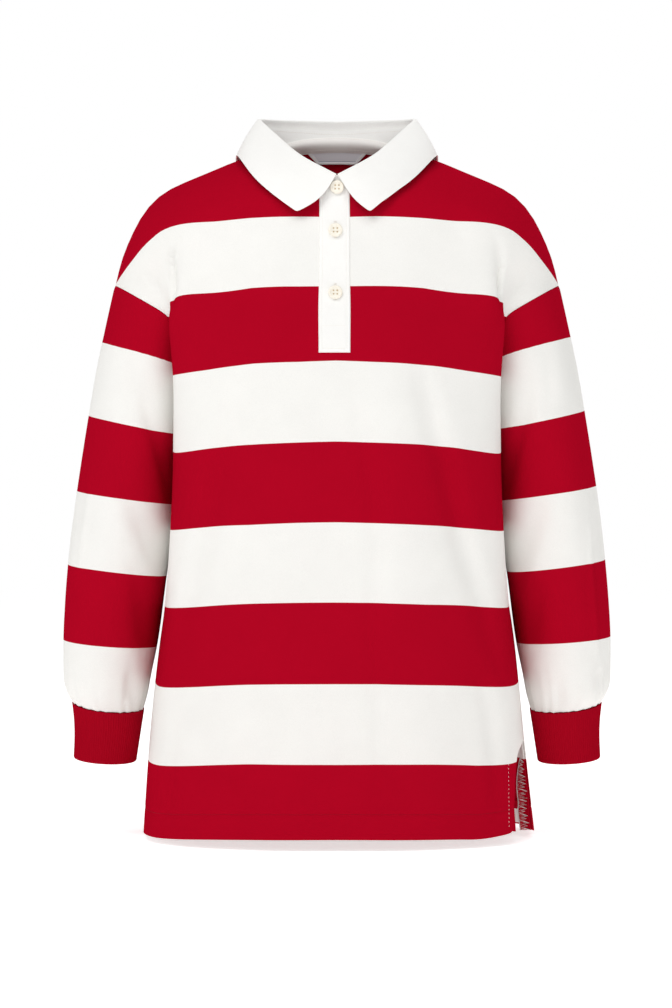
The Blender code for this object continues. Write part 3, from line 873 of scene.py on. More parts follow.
@dataclass(frozen=True)
class Workroom:
    """Turns grids of points and lines of thread into pieces of the visual model.

    Attributes:
        wardrobe: The garment's materials.
    """

    wardrobe: Wardrobe

    def piece(
        self, name: str, bm: bmesh.types.BMesh, material: bpy.types.Material, slot: Slot
    ) -> bpy.types.Object:
        """Makes a riding piece from a mesh.

        Args:
            name: The piece's name.
            bm: Its mesh, which is freed.
            material: Its material.
            slot: A material slot; not used.

        Returns:
            The piece.
        """
        mesh = mesh_of(name, bm)
        mesh.materials.append(material)
        mesh.shade_smooth()
        mesh.set_sharp_from_angle(angle=math.radians(60))
        made = placed(name, mesh)
        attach(made, BODY)
        LOG.info("%s: %d faces", name, len(mesh.polygons))
        return made

    def wall(
        self,
        name: str,
        cloth: Cloth,
        thick: np.ndarray | float,
        material: bpy.types.Material,
        slot: Slot,
        stripe: np.ndarray | None = None,
        stripe_inside: np.ndarray | None = None,
        closed: bool = False,
    ) -> bpy.types.Object:
        """Makes a wall of cloth with rounded free edges.

        Args:
            name: The piece's name.
            cloth: Its outer face.
            thick: Its thickness, one number or one for each point.
            material: Its material.
            slot: Its material slot.
            stripe: The stripe coordinate of each point, for striped cloth.
            stripe_inside: The same for the inner face, where it differs.
            closed: Whether the last column repeats the first.

        Returns:
            The piece.
        """
        rows, columns = cloth.points.shape[:2]
        thick = np.broadcast_to(np.asarray(thick, float), (rows, columns))
        bm = bmesh.new()
        bmesh.ops.create_grid(bm, x_segments=columns - 1, y_segments=rows - 1, size=1.0)
        index = bm.verts.layers.int.new("index")
        uv = bm.loops.layers.uv.new("cloth")
        outer = cloth.points.reshape(-1, 3)
        inner = (cloth.points - cloth.out * thick[..., None]).reshape(-1, 3)
        for number, vert in enumerate(bm.verts):
            vert[index] = number
            vert.co = outer[number] * MM
        places = np.stack([cloth.across, cloth.downs], -1).reshape(-1, 2) * MM
        for bm_face in bm.faces:
            for loop in bm_face.loops:
                loop[uv].uv = places[loop.vert[index]]
        if stripe is not None:
            value = bm.verts.layers.float.new("stripe")
            for vert in bm.verts:
                vert[value] = stripe.ravel()[vert[index]]
        if closed:
            bmesh.ops.remove_doubles(bm, verts=bm.verts, dist=1e-6)
        made = bmesh.ops.extrude_face_region(bm, geom=bm.faces[:])["geom"]
        for vert in (item for item in made if isinstance(item, bmesh.types.BMVert)):
            vert.co = inner[vert[index]] * MM
            if stripe_inside is not None:
                vert[value] = stripe_inside.ravel()[vert[index]]
        bmesh.ops.recalc_face_normals(bm, faces=bm.faces)
        return self.piece(name, bm, material, slot)

    def stitches(
        self,
        name: str,
        runs: Sequence[tuple[np.ndarray, np.ndarray]],
        material: bpy.types.Material,
        slot: Slot,
        stitch: Stitch,
    ) -> bpy.types.Object:
        """Lays rows of stitches on the cloth.

        Args:
            name: The piece's name.
            runs: For each row, the points of its line and the outward directions there.
            material: The thread's material.
            slot: Its material slot.
            stitch: Sizes of the stitches.

        Returns:
            The piece.
        """
        bm = bmesh.new()
        length, pitch, thread = stitch.length, stitch.pitch, stitch.thread
        for points, outs in runs:
            along = arc_lengths(points)
            for middle in np.arange(pitch / 2, along[-1] - pitch / 3, pitch):
                start, end = (read_line(points, along, middle + step) for step in (-0.5, 0.5))
                run = unit(end - start)
                side = unit(np.cross(read_line(outs, along, middle), run))
                up = np.cross(run, side)
                turn = np.stack([run * length / 2, side * thread / 2, up * thread / 2], axis=1)
                place = Matrix(turn.tolist()).to_4x4()
                place.translation = (start + end) / 2
                place = Matrix.Scale(MM, 4) @ place @ ALONG_X
                bmesh.ops.create_uvsphere(bm, u_segments=6, v_segments=4, radius=1.0, matrix=place)
        return self.piece(name, bm, material, slot)

    def thread(
        self,
        name: str,
        lines: Sequence[np.ndarray],
        width: float,
        material: bpy.types.Material,
        slot: Slot,
    ) -> bpy.types.Object:
        """Makes a piece of round thread along lines of points.

        Args:
            name: The piece's name.
            lines: The lines, in millimetres.
            width: The thread's width.
            material: Its material.
            slot: Its material slot.

        Returns:
            The piece.
        """
        curve = bpy.data.curves.new(name, "CURVE")
        curve.dimensions = "3D"
        curve.bevel_depth = width / 2 * MM
        curve.bevel_resolution = 1
        curve.use_fill_caps = True
        for line in lines:
            run = curve.splines.new("POLY")
            run.points.add(len(line) - 1)
            run.points.foreach_set("co", np.pad(line * MM, ((0, 0), (0, 1)), constant_values=1.0).ravel())
        holder = placed(f"{name}_line", curve)
        mesh = evaluated(holder)
        bpy.data.objects.remove(holder)
        bm = bmesh.new()
        bm.from_mesh(mesh)
        bpy.data.meshes.remove(mesh)
        bpy.data.curves.remove(curve)
        return self.piece(name, bm, material, slot)


def edge_round(distance: np.ndarray, thick: float) -> np.ndarray:
    """Returns the share of the full thickness at a distance from a free edge, so that the edge is round."""
    reach = np.clip(1 - np.asarray(distance, float) / (thick * 0.6), 0.0, 0.9)
    return np.sqrt(1 - reach**2)


@dataclass(frozen=True)
class BodyForm:
    """The form of the front and back panels, from the tables of the part.

    Attributes:
        front_shares: Shares from the centre line to the fold at which a section has its points.
        height_late: How late a section's height falls from the centre line's to the fold's.
        slit_late: How late a slit's edge moves away from the seam line.
        slit_fast: How fast the right front edge steps outwards below the slit's top.
    """

    front_shares: tuple[float, ...] = (0.0, 0.38, 0.74, 1.0)
    height_late: float = 2.4
    slit_late: float = 1.4
    slit_fast: float = 6.5

    def seam_point(self, face: Face, side: Side, down: float) -> np.ndarray:
        """Finds a point of a panel's edge, written for +X.

        Args:
            face: The panel.
            side: Which of its edges.
            down: Distance down along the cloth.

        Returns:
            The point.
        """
        armhole = ARMHOLE_FRONT if face is Face.FRONT else ARMHOLE_BACK
        side_seam = SIDE_SEAM_LEFT if side is Side.LEFT else SIDE_SEAM_RIGHT
        rows = next((rows for rows in (SHOULDER_SEAM, armhole) if down <= rows[-1][0]), side_seam)
        here = read_table(rows, SEAM_COLUMNS, down)
        share = max(0.0, down - SLIT_TOP) / (HEM - SLIT_TOP)
        out, back = SLIT_OPEN[face, side]
        slow = share**self.slit_late
        fast = 1 - math.exp(-share * self.slit_fast) if (face, side) == (Face.FRONT, Side.RIGHT) else slow
        return np.array([here["x"] + out * fast, here["y"] + back * slow, here["z"]])

    def half_section(self, face: Face, side: Side, down: float) -> np.ndarray:
        """Returns points for +X at one distance down: centre line, two front points, fold, side, edge.

        Args:
            face: The panel.
            side: Which half.
            down: Distance down along the cloth.

        Returns:
            The six points.
        """
        row = read_table(FRONT_SECTIONS if face is Face.FRONT else BACK_SECTIONS, PANEL_COLUMNS, down)
        points = []
        for share in self.front_shares:
            depth = row["y"] + (row["fold_y"] - row["y"]) * share ** row["late"]
            height = row["z"] + (row["fold_z"] - row["z"]) * share**self.height_late
            points.append((row["fold_x"] * share, depth, height))
        fold, edge = np.array(points[-1]), self.seam_point(face, side, down)
        run = edge - fold
        out = np.array([run[1], -run[0], 0.0]) * (1 if face is Face.FRONT else -1)
        points.append((fold + edge) / 2 + out * row["bulge"])
        points.append(edge)
        return np.array(points)

    def row(self, face: Face, down: float, shares: np.ndarray) -> tuple[np.ndarray, np.ndarray]:
        """Finds points across a panel at one distance down, from its -X edge to its +X edge.

        Args:
            face: The panel.
            down: Distance down.
            shares: Shares across it.

        Returns:
            The points, and their places across, measured along the cloth from the centre line.
        """
        right = self.half_section(face, Side.RIGHT, down)
        left = self.half_section(face, Side.LEFT, down) * (-1, 1, 1)
        points = np.concatenate([left[::-1], right[1:]])
        along = arc_lengths(points)
        at = np.clip(np.interp(shares, ACROSS, along), SEAM_GAP, along[-1] - SEAM_GAP)
        return spline(along, points, at), at - along[len(left) - 1]


def tube_ring(row: dict[str, float], turns: np.ndarray) -> np.ndarray:
    """Returns points round one section of a sleeve or cuff, from the outer side through the front.

    Args:
        row: The section's sizes by column name.
        turns: Shares of a turn round it.

    Returns:
        The points, one for each share.
    """
    angle = 2 * math.pi * turns
    x, z = (
        (row[f"outer_{axis}"] + row[f"inner_{axis}"]) / 2
        + (row[f"outer_{axis}"] - row[f"inner_{axis}"]) / 2 * np.cos(angle)
        for axis in "xz"
    )
    depth = np.where(np.sin(angle) > 0, row["front"], row["back"])
    return np.stack([x, row["y"] - depth * np.sin(angle), z - row["drop"] * np.sin(angle)], axis=-1)


@dataclass
class ShellSizes:
    """Fineness of the body and sleeves, and how deep their seams lie.

    Attributes:
        shoulder_spans: Rows of cloth between the neck and the shoulder point.
        armhole_spans: Rows along the armhole, which the sleeve's ring shares.
        body_spans: Rows from the underarm to the turned hem.
        middle_spans: Columns across a panel between its finer edges.
        seam_dip: How far the cloth sinks into a seam.
        seam_reach: Over what distance it sinks.
        hem_groove: Depth of the groove that the hem stitching pulls.
        slit_dent: How deep the cloth behind the right slit's edges is pushed in.
        slit_dent_at: How far behind the edges.
        crease_scale: How deep the creases are for their numbers.
        hem_rise: How far the front's hem lies higher at the right slit.
    """

    shoulder_spans: int = 14
    armhole_spans: int = 44
    body_spans: int = 70
    middle_spans: int = 112
    seam_dip: float = 0.8
    seam_reach: float = 2.6
    hem_groove: float = 0.45
    slit_dent: float = 4.8
    slit_dent_at: float = 21.0
    crease_scale: float = 1.75
    hem_rise: float = 7.2


BODY_CREASES = {
    Face.FRONT: (
        Crease(((-104, 214), (-110, 260), (-124, 310), (-144, 385), (-166, 455), (-186, 520)), 3, 12, 19),
        Crease(((84, 205), (94, 250), (112, 310), (134, 385), (158, 455), (184, 540)), 4.2, 17, 11),
        Crease(
            ((14, 222), (20, 270), (30, 330), (39, 400), (34, 470), (40, 550), (41, 620), (30, 690)),
            *(1.7, 9, 13),
        ),
        Crease(((-88, 290), (-98, 340), (-96, 400), (-84, 450)), 1.2, 26, 24),
        Crease(((-66, 520), (-76, 580), (-90, 650), (-96, 720)), 1.4, 17, 20),
        Crease(((150, 520), (166, 570), (172, 630), (170, 720)), 2.4, 12, 10),
        Crease(((-172, 560), (-184, 620), (-190, 720)), 1.6, 10, 13),
        Crease(((90, 560), (100, 620), (96, 720)), -1.5, 26, 24),
        Crease(((-30, 430), (-24, 520), (-34, 620), (-30, 720)), -1.1, 30, 26),
        Crease(((-196, 92), (-180, 120), (-166, 160), (-160, 200)), 1.6, 9, 12),
        Crease(((-214, 92), (-204, 112), (-196, 140)), 1.4, 6, 8),
        Crease(((196, 96), (184, 120), (168, 160), (160, 205)), 1.9, 12, 9),
        Crease(((218, 94), (206, 112), (196, 136)), 1.5, 8, 6),
        Crease(((-120, 44), (-134, 80), (-136, 120)), 0.9, 14, 20),
        Crease(((112, 40), (128, 76), (134, 118)), 0.9, 20, 14),
        Crease(((-19, 214), (0, 214.6), (14, 214)), 0.9, 1.6, 1.6),
        Crease(((-168, 76), (-175, 100), (-178, 124), (-177, 150)), 3.6, 2.4, 8),
        Crease(((167, 74), (174, 100), (177, 124), (176, 150)), 3.6, 8, 2.4),
    ),
    Face.BACK: (
        Crease(((-96, 150), (-104, 220), (-122, 310), (-146, 400), (-164, 470)), 3.2, 14, 20),
        Crease(((108, 160), (112, 230), (126, 300), (140, 380), (166, 470), (176, 540)), 3, 20, 13),
        Crease(((-22, 210), (-30, 300), (-22, 400), (-36, 520), (-32, 640), (-40, 720)), 1.8, 12, 16),
        Crease(((52, 420), (60, 500), (56, 590), (66, 720)), 1.6, 16, 12),
        Crease(((-110, 480), (-118, 560), (-112, 640), (-120, 720)), 1.5, 18, 16),
        Crease(((132, 560), (140, 620), (138, 720)), 1.6, 14, 16),
        Crease(((0, 60), (4, 100), (-2, 150)), 1, 26, 26),
        Crease(((-176, 96), (-168, 130), (-158, 180)), 1.6, 12, 10),
        Crease(((180, 100), (170, 134), (164, 184)), 1.6, 10, 12),
        Crease(((10, 460), (8, 560), (14, 720)), -1.2, 26, 28),
    ),
}
# Across is measured round a sleeve of this girth from its outer side through its front.
SLEEVE_GIRTH = 330.0
SLEEVE_CREASES = {
    Side.LEFT: (
        Crease(((74, 34), (92, 70), (110, 112), (128, 160), (146, 200)), 2.6, 10, 15),
        Crease(((50, 20), (66, 54), (78, 96)), 1.5, 9, 12),
        Crease(((78, 172), (96, 206), (116, 240), (136, 282)), 2.8, 12, 18),
        Crease(((96, 250), (110, 290), (122, 330), (138, 372)), 2.2, 12, 15),
        Crease(((30, 226), (36, 280), (30, 340)), -1.4, 22, 24),
        Crease(((112, 380), (118, 404), (122, 424)), 2.2, 7, 9),
        Crease(((34, 398), (38, 414), (40, 428)), 1.4, 5, 6),
        Crease(((14, 392), (10, 412), (12, 428)), 1.2, 5, 6),
        Crease(((214, 150), (228, 200), (236, 260)), 2.2, 16, 12),
        Crease(((250, 210), (240, 270), (252, 340)), 2, 14, 17),
        Crease(((286, 300), (292, 360), (284, 415)), 1.5, 12, 10),
        Crease(((180, 60), (190, 120), (186, 180)), 1.6, 12, 14),
        Crease(((262, 60), (256, 110), (268, 160)), 1.3, 14, 14),
        Crease(((36, 176), (42, 230), (43, 300)), -1.3, 2.4, 3.4),
    ),
    Side.RIGHT: (
        Crease(((70, 30), (90, 66), (108, 110), (124, 156), (140, 196)), 2.3, 10, 14),
        Crease(((48, 24), (62, 60), (72, 104)), 1.6, 9, 12),
        Crease(((86, 186), (104, 222), (122, 262), (136, 300)), 2.2, 11, 16),
        Crease(((106, 280), (116, 320), (126, 360)), 1.8, 12, 14),
        Crease(((58, 120), (62, 190), (56, 260)), -1.5, 20, 20),
        Crease(((44, 386), (42, 408), (46, 427)), 2.4, 5, 7),
        Crease(((28, 380), (30, 404), (27, 426)), 1.7, 5, 5),
        Crease(((96, 396), (100, 414), (98, 428)), 1.3, 6, 6),
        Crease(((210, 160), (226, 214), (232, 270)), 2.1, 15, 12),
        Crease(((252, 230), (244, 290), (256, 356)), 2, 15, 14),
        Crease(((290, 320), (286, 370), (294, 418)), 1.5, 10, 12),
        Crease(((184, 70), (192, 130), (184, 190)), 1.6, 14, 12),
        Crease(((34, 176), (42, 250), (46, 300), (45, 350), (43, 388)), -1.5, 2.4, 3.6),
    ),
}
# Small uneven gathers above a cuff: waves round it, their share of the depth, and their start.
GATHER_WAVES = ((19, 0.5, 0.4), (27, 0.35, 2.1), (38, 0.25, 4.4))
GATHER_DEPTH = 1.3
GATHER_REACH = 34.0
# Where the rows and columns of cloth lie closer together: down from the neck edge, down from the hem's
# stitching, up from the hem, in from a panel's edge as a share of its width, and down from the armhole.
NECK_ROWS = (SEAM_GAP, 1.0, 2.2)
STITCH_ROWS = (-6.0, -3.0, -1.5, -0.6, 0.2, 1.0, 2.4, 5.0)
HEM_ROWS = (-15.0, -9.0, -5.0, -2.4, -1.2, -0.5, 0.0)
EDGE_COLUMNS = (0.0, 0.0022, 0.005, 0.009, 0.014, 0.020, 0.028)
ARMHOLE_ROWS = (0.0, 2.6, 4.2, 6.5)
SLEEVE_MIDDLE = (215.0, 20.0)


class Shell:
    """The outer faces of the body and sleeves with their creases, seams and hem.

    Pieces that a seam joins share one direction along it, halfway between their own, so that their walls
    stay apart.
    """

    def __init__(self, sizes: ShellSizes) -> None:
        """Works out every face.

        Args:
            sizes: The fineness and seam sizes.
        """
        self.sizes = sizes
        self.form = BodyForm()
        self.down = np.concatenate(
            [
                NECK_ROWS,
                np.linspace(0.0, SHOULDER_POINT, sizes.shoulder_spans + 1)[1:-1],
                np.linspace(SHOULDER_POINT, UNDERARM, sizes.armhole_spans + 1)[:-1],
                np.linspace(UNDERARM, HEM - HEM_TURN - 10.0, sizes.body_spans),
                HEM - HEM_TURN + np.array(STITCH_ROWS),
                HEM + np.array(HEM_ROWS),
            ]
        )
        self.first = int(np.searchsorted(self.down, SHOULDER_POINT))
        self.last = self.first + sizes.armhole_spans
        edge = np.array(EDGE_COLUMNS)
        middle = np.linspace(0.037, 0.963, sizes.middle_spans)
        self.shares = np.concatenate([edge, middle, (1 - edge)[::-1]])
        self.body = {face: self.panel(face, self.shares) for face in Face}
        self.sleeve = {}
        for side, column in ((Side.LEFT, 0), (Side.RIGHT, -1)):
            self.sleeve[side] = self.tube(side)
            self.join(side, column)
        for face in Face:
            self.crease_body(face)
        for side in Side:
            self.crease_sleeve(side)

    def panel(self, face: Face, shares: np.ndarray) -> Cloth:
        """Returns a panel's smooth outer face.

        Args:
            face: The panel.
            shares: Shares across it at which it has columns.

        Returns:
            The face.
        """
        rows = [self.form.row(face, down, shares) for down in self.down]
        points = np.array([row[0] for row in rows])
        return Cloth(points, outward(points, (0.0, 0.0)), self.down, np.array([row[1] for row in rows]))

    def tube(self, side: Side) -> Cloth:
        """Returns a sleeve's smooth outer face, whose first ring is the armhole.

        Args:
            side: Which sleeve.

        Returns:
            The face.
        """
        turns = np.linspace(0.0, 1.0, 2 * self.sizes.armhole_spans + 1)
        downs = self.down[self.first : self.last + 1]
        front = [self.form.seam_point(Face.FRONT, side, down) for down in downs]
        back = [self.form.seam_point(Face.BACK, side, down) for down in downs[-2::-1]]
        rings = [np.array(front + back)]
        rings += [tube_ring(dict(zip(TUBE_COLUMNS, row)), turns) for row in SLEEVE_SECTIONS]
        knots = [0.0] + [row[0] for row in SLEEVE_SECTIONS]
        stops = np.concatenate([ARMHOLE_ROWS, np.linspace(10.0, 382.0, 74), np.linspace(385.0, 431.0, 20)])
        points = spline(knots, np.array(rings), stops)
        points[0] += unit(points[1] - points[0]) * ARMHOLE_GAP
        points = points * (side.value, 1, 1)
        out = outward(points, (side.value * SLEEVE_MIDDLE[0], SLEEVE_MIDDLE[1]), closed=True)
        across = np.broadcast_to(turns * SLEEVE_GIRTH, points.shape[:2]).copy()
        return Cloth(points, out, stops, across)

    def join(self, side: Side, column: int) -> None:
        """Makes the directions along one side's seams the same for the front, the back and the sleeve.

        Args:
            side: Which side.
            column: The panels' column there.
        """
        spans = self.sizes.armhole_spans
        ring = self.sleeve[side].out[0]
        rings = {Face.FRONT: ring[: spans + 1], Face.BACK: ring[: spans - 1 : -1]}
        both = unit(self.body[Face.FRONT].out[:, column] + self.body[Face.BACK].out[:, column])
        for face in Face:
            own = self.body[face].out[:, column]
            seam = both.copy()
            seam[self.first : self.last + 1] = unit(own[self.first : self.last + 1] + rings[face])
            seam = across_run(seam, self.body[face].points[:, column])
            for row, turn in ((self.first, 0), (self.last, spans)):
                seam[row] = unit(both[row] + ring[turn])
            rings[face] = seam
        for face, seam in rings.items():
            self.body[face].out[:, column] = seam
        front, back = (rings[face][self.first : self.last + 1] for face in Face)
        self.sleeve[side].out[0] = np.concatenate([front, back[-2::-1]])

    def crease_body(self, face: Face) -> None:
        """Lowers a panel's points into its creases, seams and hem groove.

        Args:
            face: The panel.
        """
        cloth, sizes = self.body[face], self.sizes
        down, edge = cloth.downs, cloth.from_edge
        calm = fade(2.0, 16.0, edge) * fade(0.0, 16.0, down)
        drop = drops(BODY_CREASES[face], cloth.across, down) * calm * sizes.crease_scale
        sewn = 1 - fade(SLIT_TOP - 2, SLIT_TOP + 6, down)
        drop += sizes.seam_dip * np.exp(-((edge / sizes.seam_reach) ** 2)) * sewn
        drop += sizes.hem_groove * np.exp(-(((down - (HEM - HEM_TURN)) / 1.5) ** 2))
        far = cloth.across[:, -1:] - cloth.across
        low = fade(SLIT_TOP, SLIT_TOP + 40.0, down)
        drop += sizes.slit_dent * np.exp(-(((far - sizes.slit_dent_at) / 12.0) ** 2)) * low
        cloth.points = cloth.points - cloth.out * drop[..., None]
        if face is Face.FRONT:
            rise = fade(138.0, 206.0, cloth.across) - 0.5 * fade(199.0, 224.0, cloth.across)
            cloth.points[..., 2] += sizes.hem_rise * rise * fade(SLIT_TOP, HEM, down)

    def crease_sleeve(self, side: Side) -> None:
        """Lowers a sleeve's points into its creases, its armhole seam and the gathers above the cuff.

        Args:
            side: Which sleeve.
        """
        cloth, sizes = self.sleeve[side], self.sizes
        down = cloth.downs
        calm = fade(2.0, 20.0, down)
        drop = drops(SLEEVE_CREASES[side], cloth.across, down) * calm * sizes.crease_scale
        angle = 2 * math.pi * cloth.across / SLEEVE_GIRTH
        waves = (share * (0.5 - 0.5 * np.cos(count * angle + start)) for count, share, start in GATHER_WAVES)
        wave = sum(waves)
        reach = np.exp(-(((cloth.down[-1] - down) / GATHER_REACH) ** 1.6))
        drop += GATHER_DEPTH * 2 * wave * reach * (0.75 + 0.25 * np.sin(3 * angle + 1.0))
        drop += sizes.seam_dip * np.exp(-((down / sizes.seam_reach) ** 2))
        cloth.points = cloth.points - cloth.out * drop[..., None]


@dataclass
class Body:
    """The front and back panels with their turned hem, slits and seams.

    Attributes:
        room: Makes the pieces.
        shell: The outer faces that the panels are cut to.
        allowance: Width of the cloth turned in at a slit.
        serging: Width of the overlocked edge.
        serging_start: How far below a slit's top it starts.
        serging_pitch: Distance from one of its loops to the next.
        serging_thread: Width of its thread.
        curl: How far the right back allowance stands away from the panel.
        topstitch: From a slit's edge in to its stitching.
        right_topstitch_x: Where the stitching of the right front edge runs.
        next_stripe: How far above the hem the turned-up cloth is white.
        back_late: How much lower the back's stripes lie on its inner face.
        hem_stitch: Stitches that hold the hem.
        slit_stitch: Stitches along a slit.
    """

    room: Workroom
    shell: Shell
    allowance: float = 13.0
    serging: float = 6.5
    serging_start: float = 20.0
    serging_pitch: float = 2.3
    serging_thread: float = 1.15
    curl: float = 7.5
    topstitch: float = 13.0
    right_topstitch_x: float = 176.0
    next_stripe: float = 16.0
    back_late: float = 3.0
    hem_stitch: Stitch = Stitch()
    slit_stitch: Stitch = Stitch(2.0, 4.2, 0.4)

    def build(self) -> None:
        """Makes both panels and their sewing."""
        for face in Face:
            sewn = [self.hem_stitches(face)]
            for side in Side:
                sewn += self.slit(face, side)
            panel = self.panel(face)

    def thickness(self, face: Face) -> np.ndarray:
        """Returns a panel's thickness at each point, rounded at its slit edges and its hem.

        Args:
            face: The panel.

        Returns:
            A thickness for each point.
        """
        cloth = self.shell.body[face]
        full = np.where(cloth.down > HEM - HEM_TURN, HEM_THICK, JERSEY_THICK)[:, None]
        free = fade(SLIT_TOP, SLIT_TOP + 4, cloth.down)[:, None]
        side = 1 - (1 - edge_round(cloth.from_edge, JERSEY_THICK)) * free
        hem = edge_round(HEM - cloth.down, HEM_THICK)[:, None]
        return full * side * hem

    def panel(self, face: Face) -> bpy.types.Object:
        """Makes a panel.

        Args:
            face: The panel.

        Returns:
            The piece.
        """
        cloth = self.shell.body[face]
        front = face is Face.FRONT
        shift = self.stripe_shift(cloth) if front else np.zeros(cloth.across.shape)
        stripe = (cloth.down[:, None] - shift - STRIPE_START) / STRIPE_WIDTH + 1
        turned_up = cloth.down > HEM - self.next_stripe
        turned = np.where(turned_up, 2 * HEM - cloth.down + 6.0, cloth.down)[:, None]
        inside = (turned - shift - (0.0 if front else self.back_late) - STRIPE_START) / STRIPE_WIDTH + 1
        inside = np.where(cloth.from_edge < self.allowance, stripe, inside)
        thick, jersey = self.thickness(face), self.room.wardrobe.jersey
        made = self.room.wall(f"{face.value}_cloth", cloth, thick, jersey, Slot.JERSEY, stripe, inside)
        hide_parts(f"{face.value}_panel")
        return made

    def stripe_shift(self, cloth: Cloth) -> np.ndarray:
        """Finds how far the stripes lie below their even places at each point of the front.

        Args:
            cloth: The front's outer face.

        Returns:
            A distance for each point, in millimetres.
        """
        lines = np.array([np.interp(self.shell.shares, FRONT_SHIFT_SHARES, row) for _, row in FRONT_SHIFTS])
        downs = [down for down, _ in FRONT_SHIFTS]
        found = np.empty(cloth.across.shape)
        for row, down in enumerate(cloth.down):
            place = np.interp(down, downs, np.arange(len(downs)))
            low = min(int(place), len(downs) - 2)
            found[row] = lines[low] + (lines[low + 1] - lines[low]) * (place - low)
        return found

    def hem_stitches(self, face: Face) -> bpy.types.Object:
        """Makes the row of stitches that holds the hem.

        Args:
            face: The panel.

        Returns:
            The piece.
        """
        cloth = self.shell.body[face]
        across = np.linspace(*(cloth.across[-20, [0, -1]] + (3.0, -3.0)), 160)
        run = cloth.read(across, np.full(len(across), HEM - HEM_TURN), 0.05)
        name, thread = f"hem_stitches_{face.value}", self.room.wardrobe.red_thread
        return self.room.stitches(name, [run], thread, Slot.JERSEY, self.hem_stitch)

    def slit(self, face: Face, side: Side) -> list[bpy.types.Object]:
        """Makes the turned allowance, its serging and the topstitching of one slit edge.

        Args:
            face: The panel.
            side: Which of its slit edges.

        Returns:
            The three pieces.
        """
        cloth = self.shell.body[face]
        column, inwards = (0, 1) if side is Side.LEFT else (-1, -1)
        down = np.linspace(SLIT_TOP - 14.0, HEM - 0.8, 30)
        edge = np.interp(down, cloth.down, cloth.across[:, column])
        back = np.interp(down, cloth.down, np.where(cloth.down > HEM - HEM_TURN, HEM_THICK, JERSEY_THICK))
        steps = np.array([0.5, 1.2, 3.0, 5.0, 8.0, 11.0, 12.4, self.allowance])
        across = edge[:, None] + inwards * steps
        downs = np.broadcast_to(down[:, None], across.shape)
        points, outs = cloth.patch(across, downs, 0.0)
        curl = self.curl if (face, side) == (Face.BACK, Side.RIGHT) else 0.0
        rise = curl * fade(1.0, 11.0, steps) * fade(SLIT_TOP, HEM - 40.0, down)[:, None]
        points = points - outs * (back[:, None] + 0.25 + rise)[..., None]
        strip = Cloth(points, outs, down, across)
        stripe = (downs - STRIPE_START) / STRIPE_WIDTH + 1
        which = f"{face.value}_{side.word}"
        jersey = self.room.wardrobe.jersey
        turned = self.room.wall(f"slit_allowance_{which}", strip, 1.0, jersey, Slot.JERSEY, stripe)
        loops = self.serge(strip, f"slit_serging_{which}", -1.25)
        line_down = np.linspace(SLIT_TOP - 12.0, HEM - 3.0, 60)
        line = np.interp(line_down, cloth.down, cloth.across[:, column]) + inwards * self.topstitch
        if (face, side) == (Face.FRONT, Side.RIGHT):
            line = self.across_at(cloth, line_down, self.right_topstitch_x)
        run = cloth.read(line, line_down, 0.0)
        name, thread = f"slit_stitches_{which}", self.room.wardrobe.pale_thread
        top = self.room.stitches(name, [run], thread, Slot.JERSEY, self.slit_stitch)
        return [turned, loops, top]

    def across_at(self, cloth: Cloth, downs: np.ndarray, x: float) -> np.ndarray:
        """Finds where a panel first reaches an x, seen from its middle.

        Args:
            cloth: The panel's outer face.
            downs: Distances down it.
            x: The place in the frame, in millimetres.

        Returns:
            A place across for each distance down.
        """
        places = []
        for row in np.searchsorted(cloth.down, downs).clip(0, len(cloth.down) - 1):
            turn = int(np.argmax(cloth.points[row, :, 0] >= x))
            pair = slice(turn - 1, turn + 1)
            places.append(np.interp(x, cloth.points[row, pair, 0], cloth.across[row, pair]))
        return np.array(places)

    def serge(self, strip: Cloth, name: str, lift: float) -> bpy.types.Object:
        """Winds overlock thread along the last columns of a strip, a zigzag and four straight lines.

        Args:
            strip: The turned allowance.
            name: The piece's name.
            lift: How far out from the strip's face the thread lies.

        Returns:
            The piece.
        """
        start, end = SLIT_TOP + self.serging_start, strip.down[-1]
        count = 2 * int((end - start) / self.serging_pitch)
        near = strip.across[:, -1]
        far = near + np.sign(strip.across[:, 0] - near) * self.serging
        down = start + (end - start) * np.arange(count + 1) / count
        swing = [np.interp(at, strip.down, near if index % 2 else far) for index, at in enumerate(down)]
        lines = [strip.read(np.array(swing), down, lift)[0]]
        down = np.linspace(start, end, 50)
        for line in (near, far, (near * 2 + far) / 3, (near + far * 2) / 3):
            lines.append(strip.read(np.interp(down, strip.down, line), down, lift)[0])
        thread = self.room.wardrobe.pale_thread
        return self.room.thread(name, lines, self.serging_thread, thread, Slot.JERSEY)


